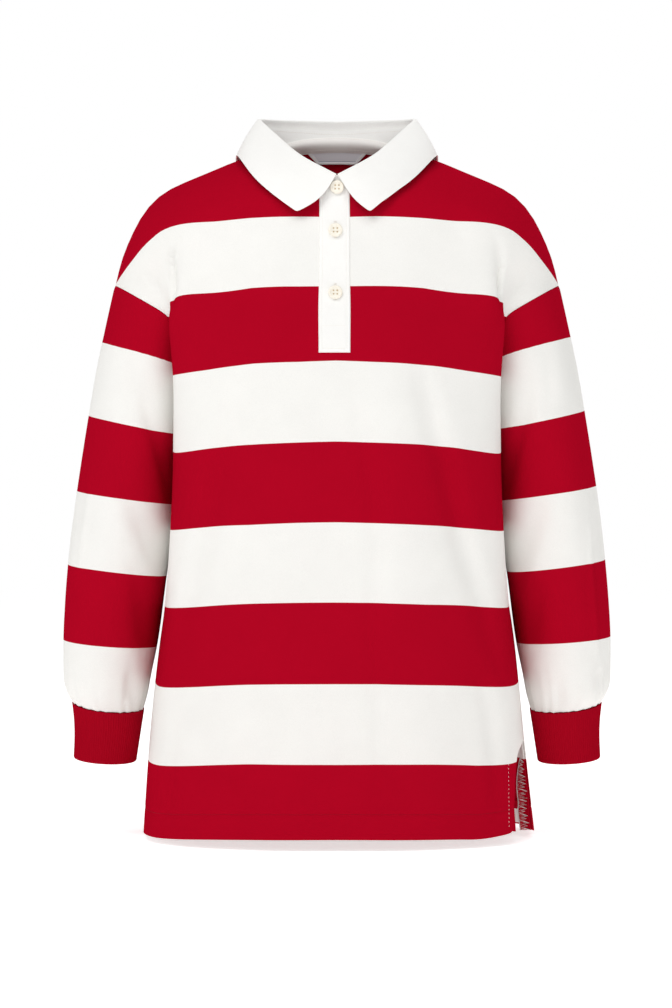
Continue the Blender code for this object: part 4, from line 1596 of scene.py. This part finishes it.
@dataclass
class Sleeves:
    """The two sleeves and their ribbed cuffs.

    Attributes:
        room: Makes the pieces.
        shell: The outer faces that the sleeves are cut to.
        ribs: How many ribs go round a cuff.
        rib_rise: How far a rib stands out.
        rib_thick: Thickness of the doubled rib knit between ribs.
        rib_edge: The same at the folded lower edge.
        cuff_girth: Round a cuff.
        cuff_height: From its seam to its lower edge.
        cuff_middle: The x and y of a line down its middle, for +X.
        cuff_stops: Distances down it at which it has a ring.
    """

    room: Workroom
    shell: Shell
    ribs: int = 88
    rib_rise: float = 0.55
    rib_thick: float = 2.0
    rib_edge: float = 2.4
    cuff_girth: float = 230.0
    cuff_height: float = 57.0
    cuff_middle: tuple[float, float] = (243.0, 15.0)
    cuff_stops: tuple[float, ...] = (0, 1, 3, 7, 12, 18, 26, 34, 42, 49, 53.5, 55.5, 56.5, 57)

    def build(self) -> None:
        """Makes both sleeves and cuffs."""
        for side in Side:
            sleeve = self.sleeve(side)
            cuff = self.cuff(side)

    def stripe(self, cloth: Cloth, side: Side) -> np.ndarray:
        """Finds the stripe coordinate of a sleeve's points.

        Args:
            cloth: The sleeve's outer face.
            side: Which sleeve.

        Returns:
            A number for each point, whose whole part is even in red and odd in white.
        """
        angle = 2 * math.pi * cloth.across / SLEEVE_GIRTH
        outer, front, inner, back = np.array(SLEEVE_STRIPES[side]).T[:, :, None, None]
        mean = (outer + inner) / 2
        level = mean + (outer - inner) / 2 * np.cos(angle)
        heights = level + np.where(np.sin(angle) > 0, front - mean, mean - back) * np.sin(angle)
        low = -cloth.points[..., 2]
        found = np.empty(low.shape)
        for place in np.ndindex(low.shape):
            at, knots = low[place], -heights[(slice(None), *place)]
            found[place] = np.interp(at, knots, np.arange(1.0, 6.0))
            if at < knots[0]:
                found[place] = 1.0 - (knots[0] - at) / STRIPE_WIDTH
            if at > knots[-1]:
                found[place] = min(5.95, 5.0 - (knots[-1] - at) / STRIPE_WIDTH)
        return found

    def sleeve(self, side: Side) -> bpy.types.Object:
        """Makes a sleeve.

        Args:
            side: Which sleeve.

        Returns:
            The piece.
        """
        cloth, name = self.shell.sleeve[side], f"sleeve_cloth_{side.word}"
        jersey, stripe = self.room.wardrobe.jersey, self.stripe(cloth, side)
        made = self.room.wall(name, cloth, JERSEY_THICK, jersey, Slot.JERSEY, stripe, closed=True)
        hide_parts(f"sleeve_{side.word}")
        return made

    def cuff(self, side: Side) -> bpy.types.Object:
        """Makes a ribbed cuff with a rounded lower edge.

        Args:
            side: Which cuff.

        Returns:
            The piece.
        """
        turns = np.linspace(0.0, 1.0, 6 * self.ribs + 1)
        stops = np.array(self.cuff_stops)
        rings = [tube_ring(read_table(CUFF_SECTIONS, TUBE_COLUMNS, stop), turns) for stop in stops]
        plain = np.array(rings) * (side.value, 1, 1)
        x, y = self.cuff_middle
        out = outward(plain, (side.value * x, y), closed=True)
        rib = 0.5 + 0.5 * np.cos(2 * math.pi * self.ribs * turns)
        flat = edge_round(self.cuff_height - stops, self.rib_edge)[:, None]
        rise = (rib[None] ** 0.7) * self.rib_rise * flat - 0.5 * (1 - flat) * self.rib_thick
        across = np.broadcast_to(turns * self.cuff_girth, rise.shape)
        cloth = Cloth(plain + out * rise[..., None], out, stops, across)
        thick = (self.rib_thick + rise) * np.where(flat > 0.99, 1.0, flat)
        rib_knit = self.room.wardrobe.rib
        made = self.room.wall(f"cuff_rib_{side.word}", cloth, thick, rib_knit, Slot.RIB, closed=True)
        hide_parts(f"cuff_{side.word}")
        return made


@dataclass
class Collar:
    """The folded leaf, the stand, the neck tape and the label.

    Attributes:
        room: Makes the pieces.
        shell: The body that the collar is sewn to.
        leaf_thick: Two plies of twill.
        tip_round: Radius of the leaf's points.
        fold_inset: From the roll line in to the leaf's inner face.
        fold_fall: From the roll line down to the leaf's seam with the stand.
        fold_fade: Turns between which that seam falls away from the front ends.
        stand_drop: From the roll line down to the stand's top line.
        stand_inset: From the roll line in to it.
        shoulder_turn: The turn at which the collar passes the shoulder seam.
        tape_rise: How far the tape reaches up from the neck seam.
        tape_fall: How far it reaches down.
        leaf_turns: Turns at which the leaf has its columns, from a front end to the middle of the back.
        leaf_stops: Shares from the roll line to the falling edge at which it has its rows.
        stand_turns: Turns at which the stand has its columns.
        stand_stops: Shares of the stand's height at which it has its rows.
        label_stops: Distances down the back panel at which the label has its rows.
        label_widths: Widths of the label at its top and its lower edge.
        tape_stitch: Stitches along the tape.
        stand_stitch: Stitches along the stand's seam.
    """

    room: Workroom
    shell: Shell
    leaf_thick: float = 2.2
    tip_round: float = 2.6
    fold_inset: float = 4.4
    fold_fall: float = 11.0
    fold_fade: tuple[float, float] = (0.10, 0.34)
    stand_drop: float = 3.4
    stand_inset: float = 2.6
    shoulder_turn: float = 0.53
    tape_rise: float = 7.0
    tape_fall: float = 4.5
    leaf_turns: np.ndarray = field(
        default_factory=lambda: np.append([0, 0.004, 0.01, 0.018, 0.028, 0.04], np.linspace(0.056, 1, 58))
    )
    leaf_stops: tuple[float, ...] = (0.1, 0.18, 0.28, 0.4, 0.52, 0.64, 0.76, 0.86, 0.93, 0.97, 0.988, 1.0)
    stand_turns: np.ndarray = field(default_factory=lambda: np.linspace(0.16, 1.0, 48))
    stand_stops: tuple[float, ...] = (0.0, 0.03, 0.08, 0.2, 0.35, 0.5, 0.65, 0.8, 0.9, 0.96, 1.0)
    label_stops: tuple[float, ...] = (
        *(3.6, 4.0, 5.0, 6.5, 8.0, 9.5, 10.4),
        *(10.6, 11.1, 11.3, 12.0, 12.5, 12.8, 13.0),
    )
    label_widths: tuple[float, float] = (67.0, 41.0)
    tape_stitch: Stitch = Stitch(2.0, 2.7, 0.4)
    stand_stitch: Stitch = Stitch(2.0, 2.7, 0.45)

    def build(self) -> None:
        """Makes every piece of the collar."""
        leaf = self.leaf()
        stand = self.stand()
        sewn = [self.stand_stitches()]
        tape, face = self.tape()
        across, white = face.across[0, 1:-1], self.room.wardrobe.white_thread
        edges = [face.read(across, np.full(len(across), down), 0.05) for down in (1.4, 9.8)]
        sewn = [self.room.stitches("tape_stitches", edges, white, Slot.TWILL, self.tape_stitch)]
        label = self.label()

    def round(self, half: np.ndarray) -> np.ndarray:
        """Returns signed turns from the -X front end, round the back, to the +X front end."""
        return np.concatenate([-half, half[-2::-1]])

    def line(self, turns: np.ndarray, name: str) -> np.ndarray:
        """Returns the points of one of the collar's named lines, one for each signed turn.

        Args:
            turns: Signed turns.
            name: The line's name, roll, mid or fall.

        Returns:
            The points.
        """
        points = []
        for turn in turns:
            row = read_table(COLLAR_SECTIONS, COLLAR_COLUMNS, abs(turn))
            side = math.copysign(1, turn)
            leans = side > 0 and name in LEAF_LEAN
            lean = np.interp(turn, LEAF_LEAN_TURNS, LEAF_LEAN[name]) if leans else 0.0
            x, y, z = (row[f"{name}_{axis}"] for axis in "xyz")
            points.append((x * side - lean, y - lean * LEAF_LEAN_FORWARD, z))
        return np.array(points)

    def radial(self, roll: np.ndarray) -> np.ndarray:
        """Returns the level outward directions at the roll line."""
        return unit((roll - (0.0, 10.0, 0.0)) * (1, 1, 0))

    def leaf(self) -> bpy.types.Object:
        """Makes the leaf, which folds over at the roll line and reaches down to its seam with the stand.

        Returns:
            The piece.
        """
        turns = self.round(self.leaf_turns)
        roll = self.line(turns, "roll")
        stops = np.array(self.leaf_stops)
        lines = np.array([roll, self.line(turns, "mid"), self.line(turns, "fall")])
        fall = lines[2]
        run = arc_lengths(fall)
        from_end = np.minimum(run, run[-1] - run)
        into_tip = np.maximum(0, self.tip_round - from_end)
        pull = self.tip_round - np.sqrt(np.maximum(0, self.tip_round**2 - into_tip**2))
        reach = 1 - pull / np.linalg.norm(fall - roll, axis=1)
        columns = [spline([0.0, 0.5, 1.0], lines[:, c], stops * reach[c]) for c in range(len(turns))]
        outer = np.array(columns).swapaxes(0, 1)
        level = self.radial(roll)
        low = self.fold_fall * fade(*self.fold_fade, abs(turns))[:, None]
        inner = roll - level * self.fold_inset
        inside = [inner - UP * (1.6 + low * share) for share in (1.0, 0.8, 0.55, 0.3, 0.1, 0.0)]
        bend = ((3.9, 0.75), (2.9, 0.2), (1.8, 0.0), (0.7, 0.15))
        over = [roll - level * inset - UP * dip for inset, dip in bend]
        over.append(roll + (outer[0] - roll) * 0.12 - UP * 0.25)
        over.append(roll + (outer[0] - roll) * 0.45)
        points = np.array([*inside, *over, *outer])
        out = unit(np.cross(np.gradient(points, axis=0), np.gradient(points, axis=1)))
        if np.sum(out[-4, :, :2] * level[:, :2]) < 0:
            out = -out
        rim = edge_round(from_end, self.leaf_thick)[None, :]
        stop = np.concatenate([np.zeros(len(inside) + len(over)), stops])
        rim = rim * edge_round((1 - stop) * 46.0, self.leaf_thick)[:, None]
        thin = [np.full(len(inside), 0.5), np.linspace(0.5, 1.0, len(over)), np.ones(len(stops))]
        middle = len(self.leaf_turns) - 1
        cloth = Cloth(points, out, arc_lengths(points[:, middle]), mean_across(points))
        thick = self.leaf_thick * rim * np.concatenate(thin)[:, None]
        made = self.room.wall("collar_leaf_cloth", cloth, thick, self.room.wardrobe.twill, Slot.TWILL)
        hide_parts("collar_leaf")
        return made

    def neck_points(self, turns: np.ndarray) -> np.ndarray:
        """Returns the points of the panels' neck edge, one for each signed turn.

        Args:
            turns: Signed turns.

        Returns:
            The points.
        """
        points = []
        for turn in turns:
            side, turn = math.copysign(1, turn), abs(turn)
            if turn <= self.shoulder_turn:
                face, share = Face.FRONT, 0.5 * turn / self.shoulder_turn
            else:
                face, share = Face.BACK, 0.5 * (1 - turn) / (1 - self.shoulder_turn)
            points.append(self.shell.form.row(face, 0.0, np.array([0.5 + side * share]))[0][0])
        return np.array(points)

    def stand_ends(self, turns: np.ndarray) -> tuple[np.ndarray, np.ndarray, np.ndarray]:
        """Returns the stand's top line, its low line and its outward directions.

        Args:
            turns: Signed turns.

        Returns:
            The three rows of points and directions.
        """
        roll = self.line(turns, "roll")
        top = roll - self.radial(roll) * self.stand_inset - (0.0, 0.0, self.stand_drop)
        low = self.neck_points(turns)
        low = low + unit(top - low) * SEAM_GAP
        out = outward(np.array([top, (top + low) / 2, low]), (0.0, 0.0))
        return top, low, out[1]

    def stand(self) -> bpy.types.Object:
        """Makes the stand, from under the leaf's seam down to the neck seam.

        Returns:
            The piece.
        """
        turns = self.round(self.stand_turns)
        top, low, out = self.stand_ends(turns)
        height = np.linalg.norm(top - low, axis=1)
        start = np.minimum(0.55, np.maximum(0.0, (self.fold_fall - 2.0) / np.maximum(height, 1.0)))
        start = start * fade(0.16, 0.36, abs(turns))
        shares = np.array(self.stand_stops)
        points = np.array([top + (low - top) * (start + (1 - start) * share)[:, None] for share in shares])
        down = shares * float(height[len(self.stand_turns) - 1])
        outs = np.broadcast_to(out, points.shape).copy()
        cloth, twill = Cloth(points, outs, down, mean_across(points)), self.room.wardrobe.twill
        made = self.room.wall("collar_stand_cloth", cloth, self.leaf_thick, twill, Slot.TWILL)
        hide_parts("collar_stand")
        return made

    def stand_stitches(self) -> bpy.types.Object:
        """Makes the two rows of stitches along the seam of the leaf and the stand, inside the neck.

        Returns:
            The piece.
        """
        turns = self.round(np.linspace(0.34, 1.0, 60))
        roll = self.line(turns, "roll")
        top, low, out = self.stand_ends(turns)
        level = self.radial(roll)
        drop = 1.6 + self.fold_fall * fade(*self.fold_fade, abs(turns))[:, None]
        upper = roll - level * (self.fold_inset + 0.05) - UP * (drop - 1.4)
        lower = top + unit(low - top) * (drop + 1.0) - out * (self.leaf_thick + 0.05)
        runs, white = [(upper, -level), (lower, -out)], self.room.wardrobe.white_thread
        return self.room.stitches("stand_stitches", runs, white, Slot.TWILL, self.stand_stitch)

    def tape(self) -> tuple[bpy.types.Object, Cloth]:
        """Makes the strip that covers the inside of the back neck seam, and gives its face.

        Returns:
            The piece and its outer face.
        """
        turns = self.round(self.stand_turns[self.stand_turns > 0.61])
        top, low, out = self.stand_ends(turns)
        shares = 0.5 + np.sign(turns) * 0.5 * (1 - abs(turns)) / (1 - self.shoulder_turn)
        downs = (self.tape_fall, self.tape_fall + 1)
        rows = [self.shell.form.row(Face.BACK, down, shares)[0] for down in downs]
        normal = unit(np.cross(rows[1] - rows[0], np.gradient(rows[0], axis=0)))
        normal *= np.sign(np.sum(normal * out, axis=1, keepdims=True))
        gap = 1.0
        upper = low + unit(top - low) * self.tape_rise - out * (self.leaf_thick + gap)
        middle = low - unit(normal + out) * (self.leaf_thick + 2 * gap)
        lower = rows[0] - normal * (JERSEY_THICK + gap)
        shares = np.linspace(0.0, 1.0, 9)
        points = spline([0.0, 0.6, 1.0], np.array([upper, middle, lower]), shares)
        outs = -outward(points, (0.0, 0.0))
        down = np.linspace(0.0, self.tape_rise + self.tape_fall, len(shares))
        cloth = Cloth(points + outs, outs, down, mean_across(points))
        made = self.room.wall("neck_tape_cloth", cloth, 1.0, self.room.wardrobe.tape, Slot.TWILL)
        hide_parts("neck_tape")
        return made, cloth

    def label(self) -> bpy.types.Object:
        """Makes the blank label, whose lower corners are folded away.

        Returns:
            The piece.
        """
        downs = np.array(self.label_stops)
        width = np.interp(downs, downs[[0, -1]], self.label_widths)
        middle = np.linspace(-0.38, 0.38, 20)
        spread = np.concatenate([np.linspace(-0.5, -0.4, 11), middle, np.linspace(0.4, 0.5, 11)])
        across = width[:, None] * spread
        down = np.broadcast_to(downs[:, None], across.shape)
        back = self.shell.body[Face.BACK]
        points, outs = back.patch(across, down, -JERSEY_THICK - 0.9)
        fold = np.maximum(fade(0.42, 0.44, abs(spread))[None], fade(11.1, 11.3, down))
        points = points - outs * (1.0 + 0.3 * fold[..., None] * (1 - fade(12.6, 13.0, down))[..., None])
        cloth = Cloth(points, -outs, downs, across)
        zone = np.where(fold > 0.5, 2.0, (1 - fade(10.4, 10.6, down)) + fade(11.1, 11.3, down))
        made = self.room.wall("neck_label_cloth", cloth, 1.0, self.room.wardrobe.label, Slot.LABEL, zone)
        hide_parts("neck_label")
        return made


# Distances in from a placket strip's edge, and up from its end, at which it has columns and rows.
STRIP_COLUMNS = (0.0, 0.35, 0.9, 1.8, 2.6, 3.4, 4.6)
STRIP_ROWS = (0.0, 0.35, 0.9, 1.8, 3.4, 5.0, 6.6)
# Radius and height of a button's outline, from the middle of its back round to the middle of its face.
BUTTON_PROFILE = (
    *((0.0, 0.0), (5.6, 0.0), (6.7, 0.5), (7.2, 1.2), (7.2, 1.9), (6.9, 2.5)),
    *((6.3, 2.8), (5.5, 2.8), (4.9, 2.45), (4.4, 2.1), (3.4, 1.95), (0.0, 1.9)),
)


@dataclass
class Placket:
    """The two placket strips with their stitching, buttonholes and buttons.

    Attributes:
        room: Makes the pieces.
        shell: The front that the placket lies on.
        left: The strip's edge towards -X.
        right: Its edge towards +X.
        end: How far down it ends.
        thick: Its thickness.
        top_rise: How far the strips reach up into the collar's seam.
        inset: From a strip's edge in to its stitching.
        groove: Depth of the groove that the stitching pulls.
        stitch: Stitches along the strip.
        button_downs: Where the buttons sit.
        button_x: Their places across.
        hole_offset: From a button's middle to its holes, each way.
        hole_radius: Radius of a hole.
    """

    room: Workroom
    shell: Shell
    left: float = -18.0
    right: float = 13.0
    end: float = 211.0
    thick: float = 1.8
    top_rise: float = 4.0
    inset: float = 3.4
    groove: float = 0.28
    stitch: Stitch = Stitch(1.9, 2.6, 0.42)
    button_downs: tuple[float, ...] = (13.5, 76.0, 145.0)
    button_x: tuple[float, ...] = (0.0, -1.6, -1.6)
    hole_offset: float = 1.9
    hole_radius: float = 0.95

    def build(self) -> None:
        """Makes the placket and what is sewn on it."""
        upper, surface = self.strip("placket_upper", SEAM_GAP, self.left, self.right, self.end)
        low = -JERSEY_THICK - SEAM_GAP - self.thick
        under, _ = self.strip("placket_under", low, self.left + 1, self.right - 1, self.end - 3)
        sewn = [self.edge_stitches(surface), self.buttonholes(surface)]
        for index, (down, x) in enumerate(zip(self.button_downs, self.button_x), 1):
            self.button(index, down, x)

    def strip(
        self, node: str, lift: float, left: float, right: float, end: float
    ) -> tuple[bpy.types.Object, Cloth]:
        """Makes one strip.

        Args:
            node: The part's node that it stands for.
            lift: How far its back lies out from the front panel's face.
            left: Its edge towards -X.
            right: Its edge towards +X.
            end: How far down it ends.

        Returns:
            The piece and its outer face.
        """
        edge, low = np.array(STRIP_COLUMNS), np.array(STRIP_ROWS)
        xs = np.concatenate([left + edge, np.linspace(left + 7, right - 7, 9), (right - edge)[::-1]])
        downs = np.concatenate([np.linspace(SEAM_GAP, end - 10, 60), (end - low)[::-1]])
        down, across = np.meshgrid(downs, xs, indexing="ij")
        points, outs = self.shell.body[Face.FRONT].patch(across, down, lift)
        rise = unit(points[0] - points[4]) * self.top_rise
        points = np.concatenate([[points[0] + rise, points[0] + rise * 0.5], points])
        outs = np.concatenate([outs[:1], outs[:1], outs])
        downs = np.concatenate([[-self.top_rise, -self.top_rise / 2], downs])
        down, across = np.meshgrid(downs, xs, indexing="ij")
        edges = np.minimum(np.minimum(across - left, right - across), end - down)
        groove = self.groove * np.exp(-(((edges - self.inset) / 0.7) ** 2))
        thick = self.thick * edge_round(edges, self.thick) - (groove + 0.18 * np.exp(-((edges / 1.6) ** 2)))
        face = Cloth(points + outs * thick[..., None], outs, downs, across)
        made = self.room.wall(f"{node}_cloth", face, thick, self.room.wardrobe.twill, Slot.TWILL)
        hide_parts(node)
        return made, face

    def edge_stitches(self, face: Cloth) -> bpy.types.Object:
        """Makes the rows of stitches along both edges and the box at the end.

        Args:
            face: The upper strip's outer face.

        Returns:
            The piece.
        """
        left, right = self.left + self.inset, self.right - self.inset
        top, low = self.end - 29.0, self.end - 4.0
        lines = [((left, 30.0), (left, low)), ((right, 30.0), (right, low))]
        lines += [((left, top), (right, top)), ((left, low), (right, low))]
        runs = []
        for start, end in lines:
            places = np.linspace(start, end, 50)
            runs.append(face.read(places[:, 0], places[:, 1], 0.0))
        white = self.room.wardrobe.white_thread
        return self.room.stitches("placket_stitches", runs, white, Slot.TWILL, self.stitch)

    def buttonholes(self, face: Cloth) -> bpy.types.Object:
        """Makes the upright buttonholes, each wound with thread.

        Args:
            face: The upper strip's outer face.

        Returns:
            The piece.
        """
        lines, turns = [], np.arange(35)
        for down, x in zip(self.button_downs[1:], self.button_x[1:]):
            start, end, half = down - 10.5, down + 8.0, 1.1
            rows = start + (end - start) * turns / turns[-1]
            for side in (-1, 1):
                swing = x + side * np.where(turns % 2, 0.35, half)
                lines.append(face.read(swing, rows, 0.1)[0])
            for at in (start, end):
                lines.append(face.read((x - half, x + half), (at, at), 0.2)[0])
        white = self.room.wardrobe.white_thread
        return self.room.thread("buttonholes", lines, self.stitch.thread, white, Slot.TWILL)

    @property
    def holes(self) -> list[tuple[float, float]]:
        """The places of a button's holes, from its middle."""
        both = (-self.hole_offset, self.hole_offset)
        return [(x, y) for x in both for y in both]

    def button(self, index: int, down: float, x: float) -> None:
        """Makes a button with four holes and the thread that holds it.

        Args:
            index: Its number from the top.
            down: How far down it sits.
            x: Its place across.
        """
        bm = bmesh.new()
        verts = [bm.verts.new((radius, 0.0, height)) for radius, height in BUTTON_PROFILE]
        edges = [bm.edges.new(pair) for pair in zip(verts, verts[1:])]
        turn = {"axis": (0, 0, 1), "cent": (0, 0, 0), "angle": 2 * math.pi}
        bmesh.ops.spin(bm, geom=verts + edges, **turn, steps=48, use_merge=True)
        bmesh.ops.remove_doubles(bm, verts=bm.verts, dist=1e-4)
        point, out = self.shell.body[Face.FRONT].read(x, down, self.thick + 2 * SEAM_GAP)
        centre, facing = point[0], out[0]
        side = unit(np.cross((0.0, 0.0, 1.0), facing))
        turned = np.array([side, np.cross(facing, side), facing]).T
        place = Matrix((turned * MM).tolist()).to_4x4()
        place.translation = centre * MM
        bmesh.ops.transform(bm, matrix=place, verts=bm.verts)
        bmesh.ops.recalc_face_normals(bm, faces=bm.faces)
        made = self.room.piece(f"button_turned_{index}", bm, self.room.wardrobe.button, Slot.BUTTON)
        self.drill(made, place)
        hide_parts(f"button_{index}")
        lines = [np.array([(*hole, 0.2), (*hole, 1.75)]) @ turned.T + centre for hole in self.holes]
        tan = self.room.wardrobe.button_thread
        self.room.thread(f"button_thread_{index}", lines, 1.7, tan, Slot.BUTTON)

    def drill(self, button: bpy.types.Object, place: Matrix) -> None:
        """Cuts the four holes through a button.

        Args:
            button: The piece.
            place: Where it lies, from its own axes.
        """
        bm = bmesh.new()
        size = {"radius1": self.hole_radius, "radius2": self.hole_radius, "depth": 6.0}
        for hole in self.holes:
            at = place @ Matrix.Translation((*hole, 1.4))
            bmesh.ops.create_cone(bm, cap_ends=True, segments=16, **size, matrix=at)
        tool = placed("drill", mesh_of("drill", bm))
        cut = button.modifiers.new("holes", "BOOLEAN")
        cut.object = tool
        cut.solver = "EXACT"
        drilled = evaluated(button)
        button.modifiers.clear()
        button.data = drilled
        drilled.set_sharp_from_angle(angle=math.radians(40))
        bpy.data.objects.remove(tool)


@dataclass(frozen=True)
class Lamp:
    """A square soft light.

    Attributes:
        name: Its name.
        at: Its place, in metres.
        towards: The point that it faces.
        size: Its side.
        power: Its power in watts.
    """

    name: str
    at: tuple[float, float, float]
    towards: tuple[float, float, float]
    size: float
    power: float

    def build(self) -> None:
        """Makes the light."""
        data = bpy.data.lights.new(self.name, "AREA")
        data.shape = "SQUARE"
        data.size = self.size
        data.energy = self.power
        light = placed(self.name, data)
        light.location = self.at
        aim = Vector(self.towards) - Vector(self.at)
        light.rotation_euler = aim.to_track_quat("-Z", "Y").to_euler()


@dataclass(frozen=True)
class Studio:
    """The pale floor, the soft light and the camera.

    Attributes:
        eye: The camera's place, in metres.
        lens: Its focal length, in millimetres.
        sensor: The long side of its picture, in millimetres.
        floor_gap: From the hem down to the floor.
        floor_size: Half the floor's side.
        floor_tone: Display shade of the floor, in each of its parts.
        floor_glow: Strength of the floor's own light, which keeps its far edge out of sight.
        sky: Strength of the soft light from all round.
        lamps: The soft lights.
    """

    eye: tuple[float, float, float] = (-0.00105, -3.0, -0.361)
    lens: float = 102.04
    sensor: float = 36.0
    floor_gap: float = 0.004
    floor_size: float = 8.0
    floor_tone: float = 243
    floor_glow: float = 0.59
    sky: float = 0.45
    lamps: tuple[Lamp, ...] = (
        Lamp("key", (-1.25, -1.8, 2.2), (0.0, 0.0, -0.25), 1.3, 30.0),
        Lamp("top", (0.2, -1.0, 1.6), (0.0, 0.0, -0.1), 0.9, 8.0),
        Lamp("back", (1.3, 2.6, 1.9), (0.0, 0.0, -0.35), 1.6, 34.0),
    )

    def build(self) -> None:
        """Makes the whole studio."""
        self.camera()
        self.surroundings()
        self.floor()
        for lamp in self.lamps:
            lamp.build()
        bpy.context.scene.view_settings.view_transform = "Standard"

    def camera(self) -> None:
        """Makes the camera at the photograph's viewing angle."""
        data = bpy.data.cameras.new("camera")
        data.lens = self.lens
        data.sensor_width = self.sensor
        camera = placed("camera", data)
        camera.location = self.eye
        camera.rotation_euler = (math.pi / 2, 0.0, 0.0)
        bpy.context.scene.camera = camera

    def surroundings(self) -> None:
        """Makes the white surroundings, which light the garment less than they show."""
        world = bpy.data.worlds.new("studio")
        world.use_nodes = True
        bpy.context.scene.world = world
        tree = world.node_tree
        shown, lit = tree.nodes["Background"], tree.nodes.new("ShaderNodeBackground")
        shown.inputs["Color"].default_value = WHITE
        lit.inputs["Color"].default_value = WHITE
        lit.inputs["Strength"].default_value = self.sky
        path, mix = tree.nodes.new("ShaderNodeLightPath"), tree.nodes.new("ShaderNodeMixShader")
        tree.links.new(path.outputs["Is Camera Ray"], mix.inputs[0])
        tree.links.new(lit.outputs[0], mix.inputs[1])
        tree.links.new(shown.outputs[0], mix.inputs[2])
        tree.links.new(mix.outputs[0], tree.nodes["World Output"].inputs[0])

    def floor(self) -> None:
        """Makes the pale floor just under the hem."""
        bm = bmesh.new()
        place = Matrix.Translation((0, 0, CAD_BOX[0].z - self.floor_gap))
        bmesh.ops.create_grid(bm, x_segments=1, y_segments=1, size=self.floor_size, matrix=place)
        mesh = mesh_of("floor", bm)
        graph = Graph("pale floor", roughness=0.9, specular=0.0)
        graph.colour(linear(*[self.floor_tone] * 3))
        graph.shader.inputs["Emission Color"].default_value = WHITE
        graph.shader.inputs["Emission Strength"].default_value = self.floor_glow
        mesh.materials.append(graph.material)
        floor = placed("floor", mesh)


def main() -> None:
    """Builds the garment and its studio in order."""
    logging.basicConfig(level=logging.INFO, format="%(message)s")
    room = Workroom(Wardrobe())
    shell = Shell(ShellSizes())
    Body(room, shell).build()
    Sleeves(room, shell).build()
    Collar(room, shell).build()
    Placket(room, shell).build()
    Studio().build()


if __name__ == "__main__":
    main()
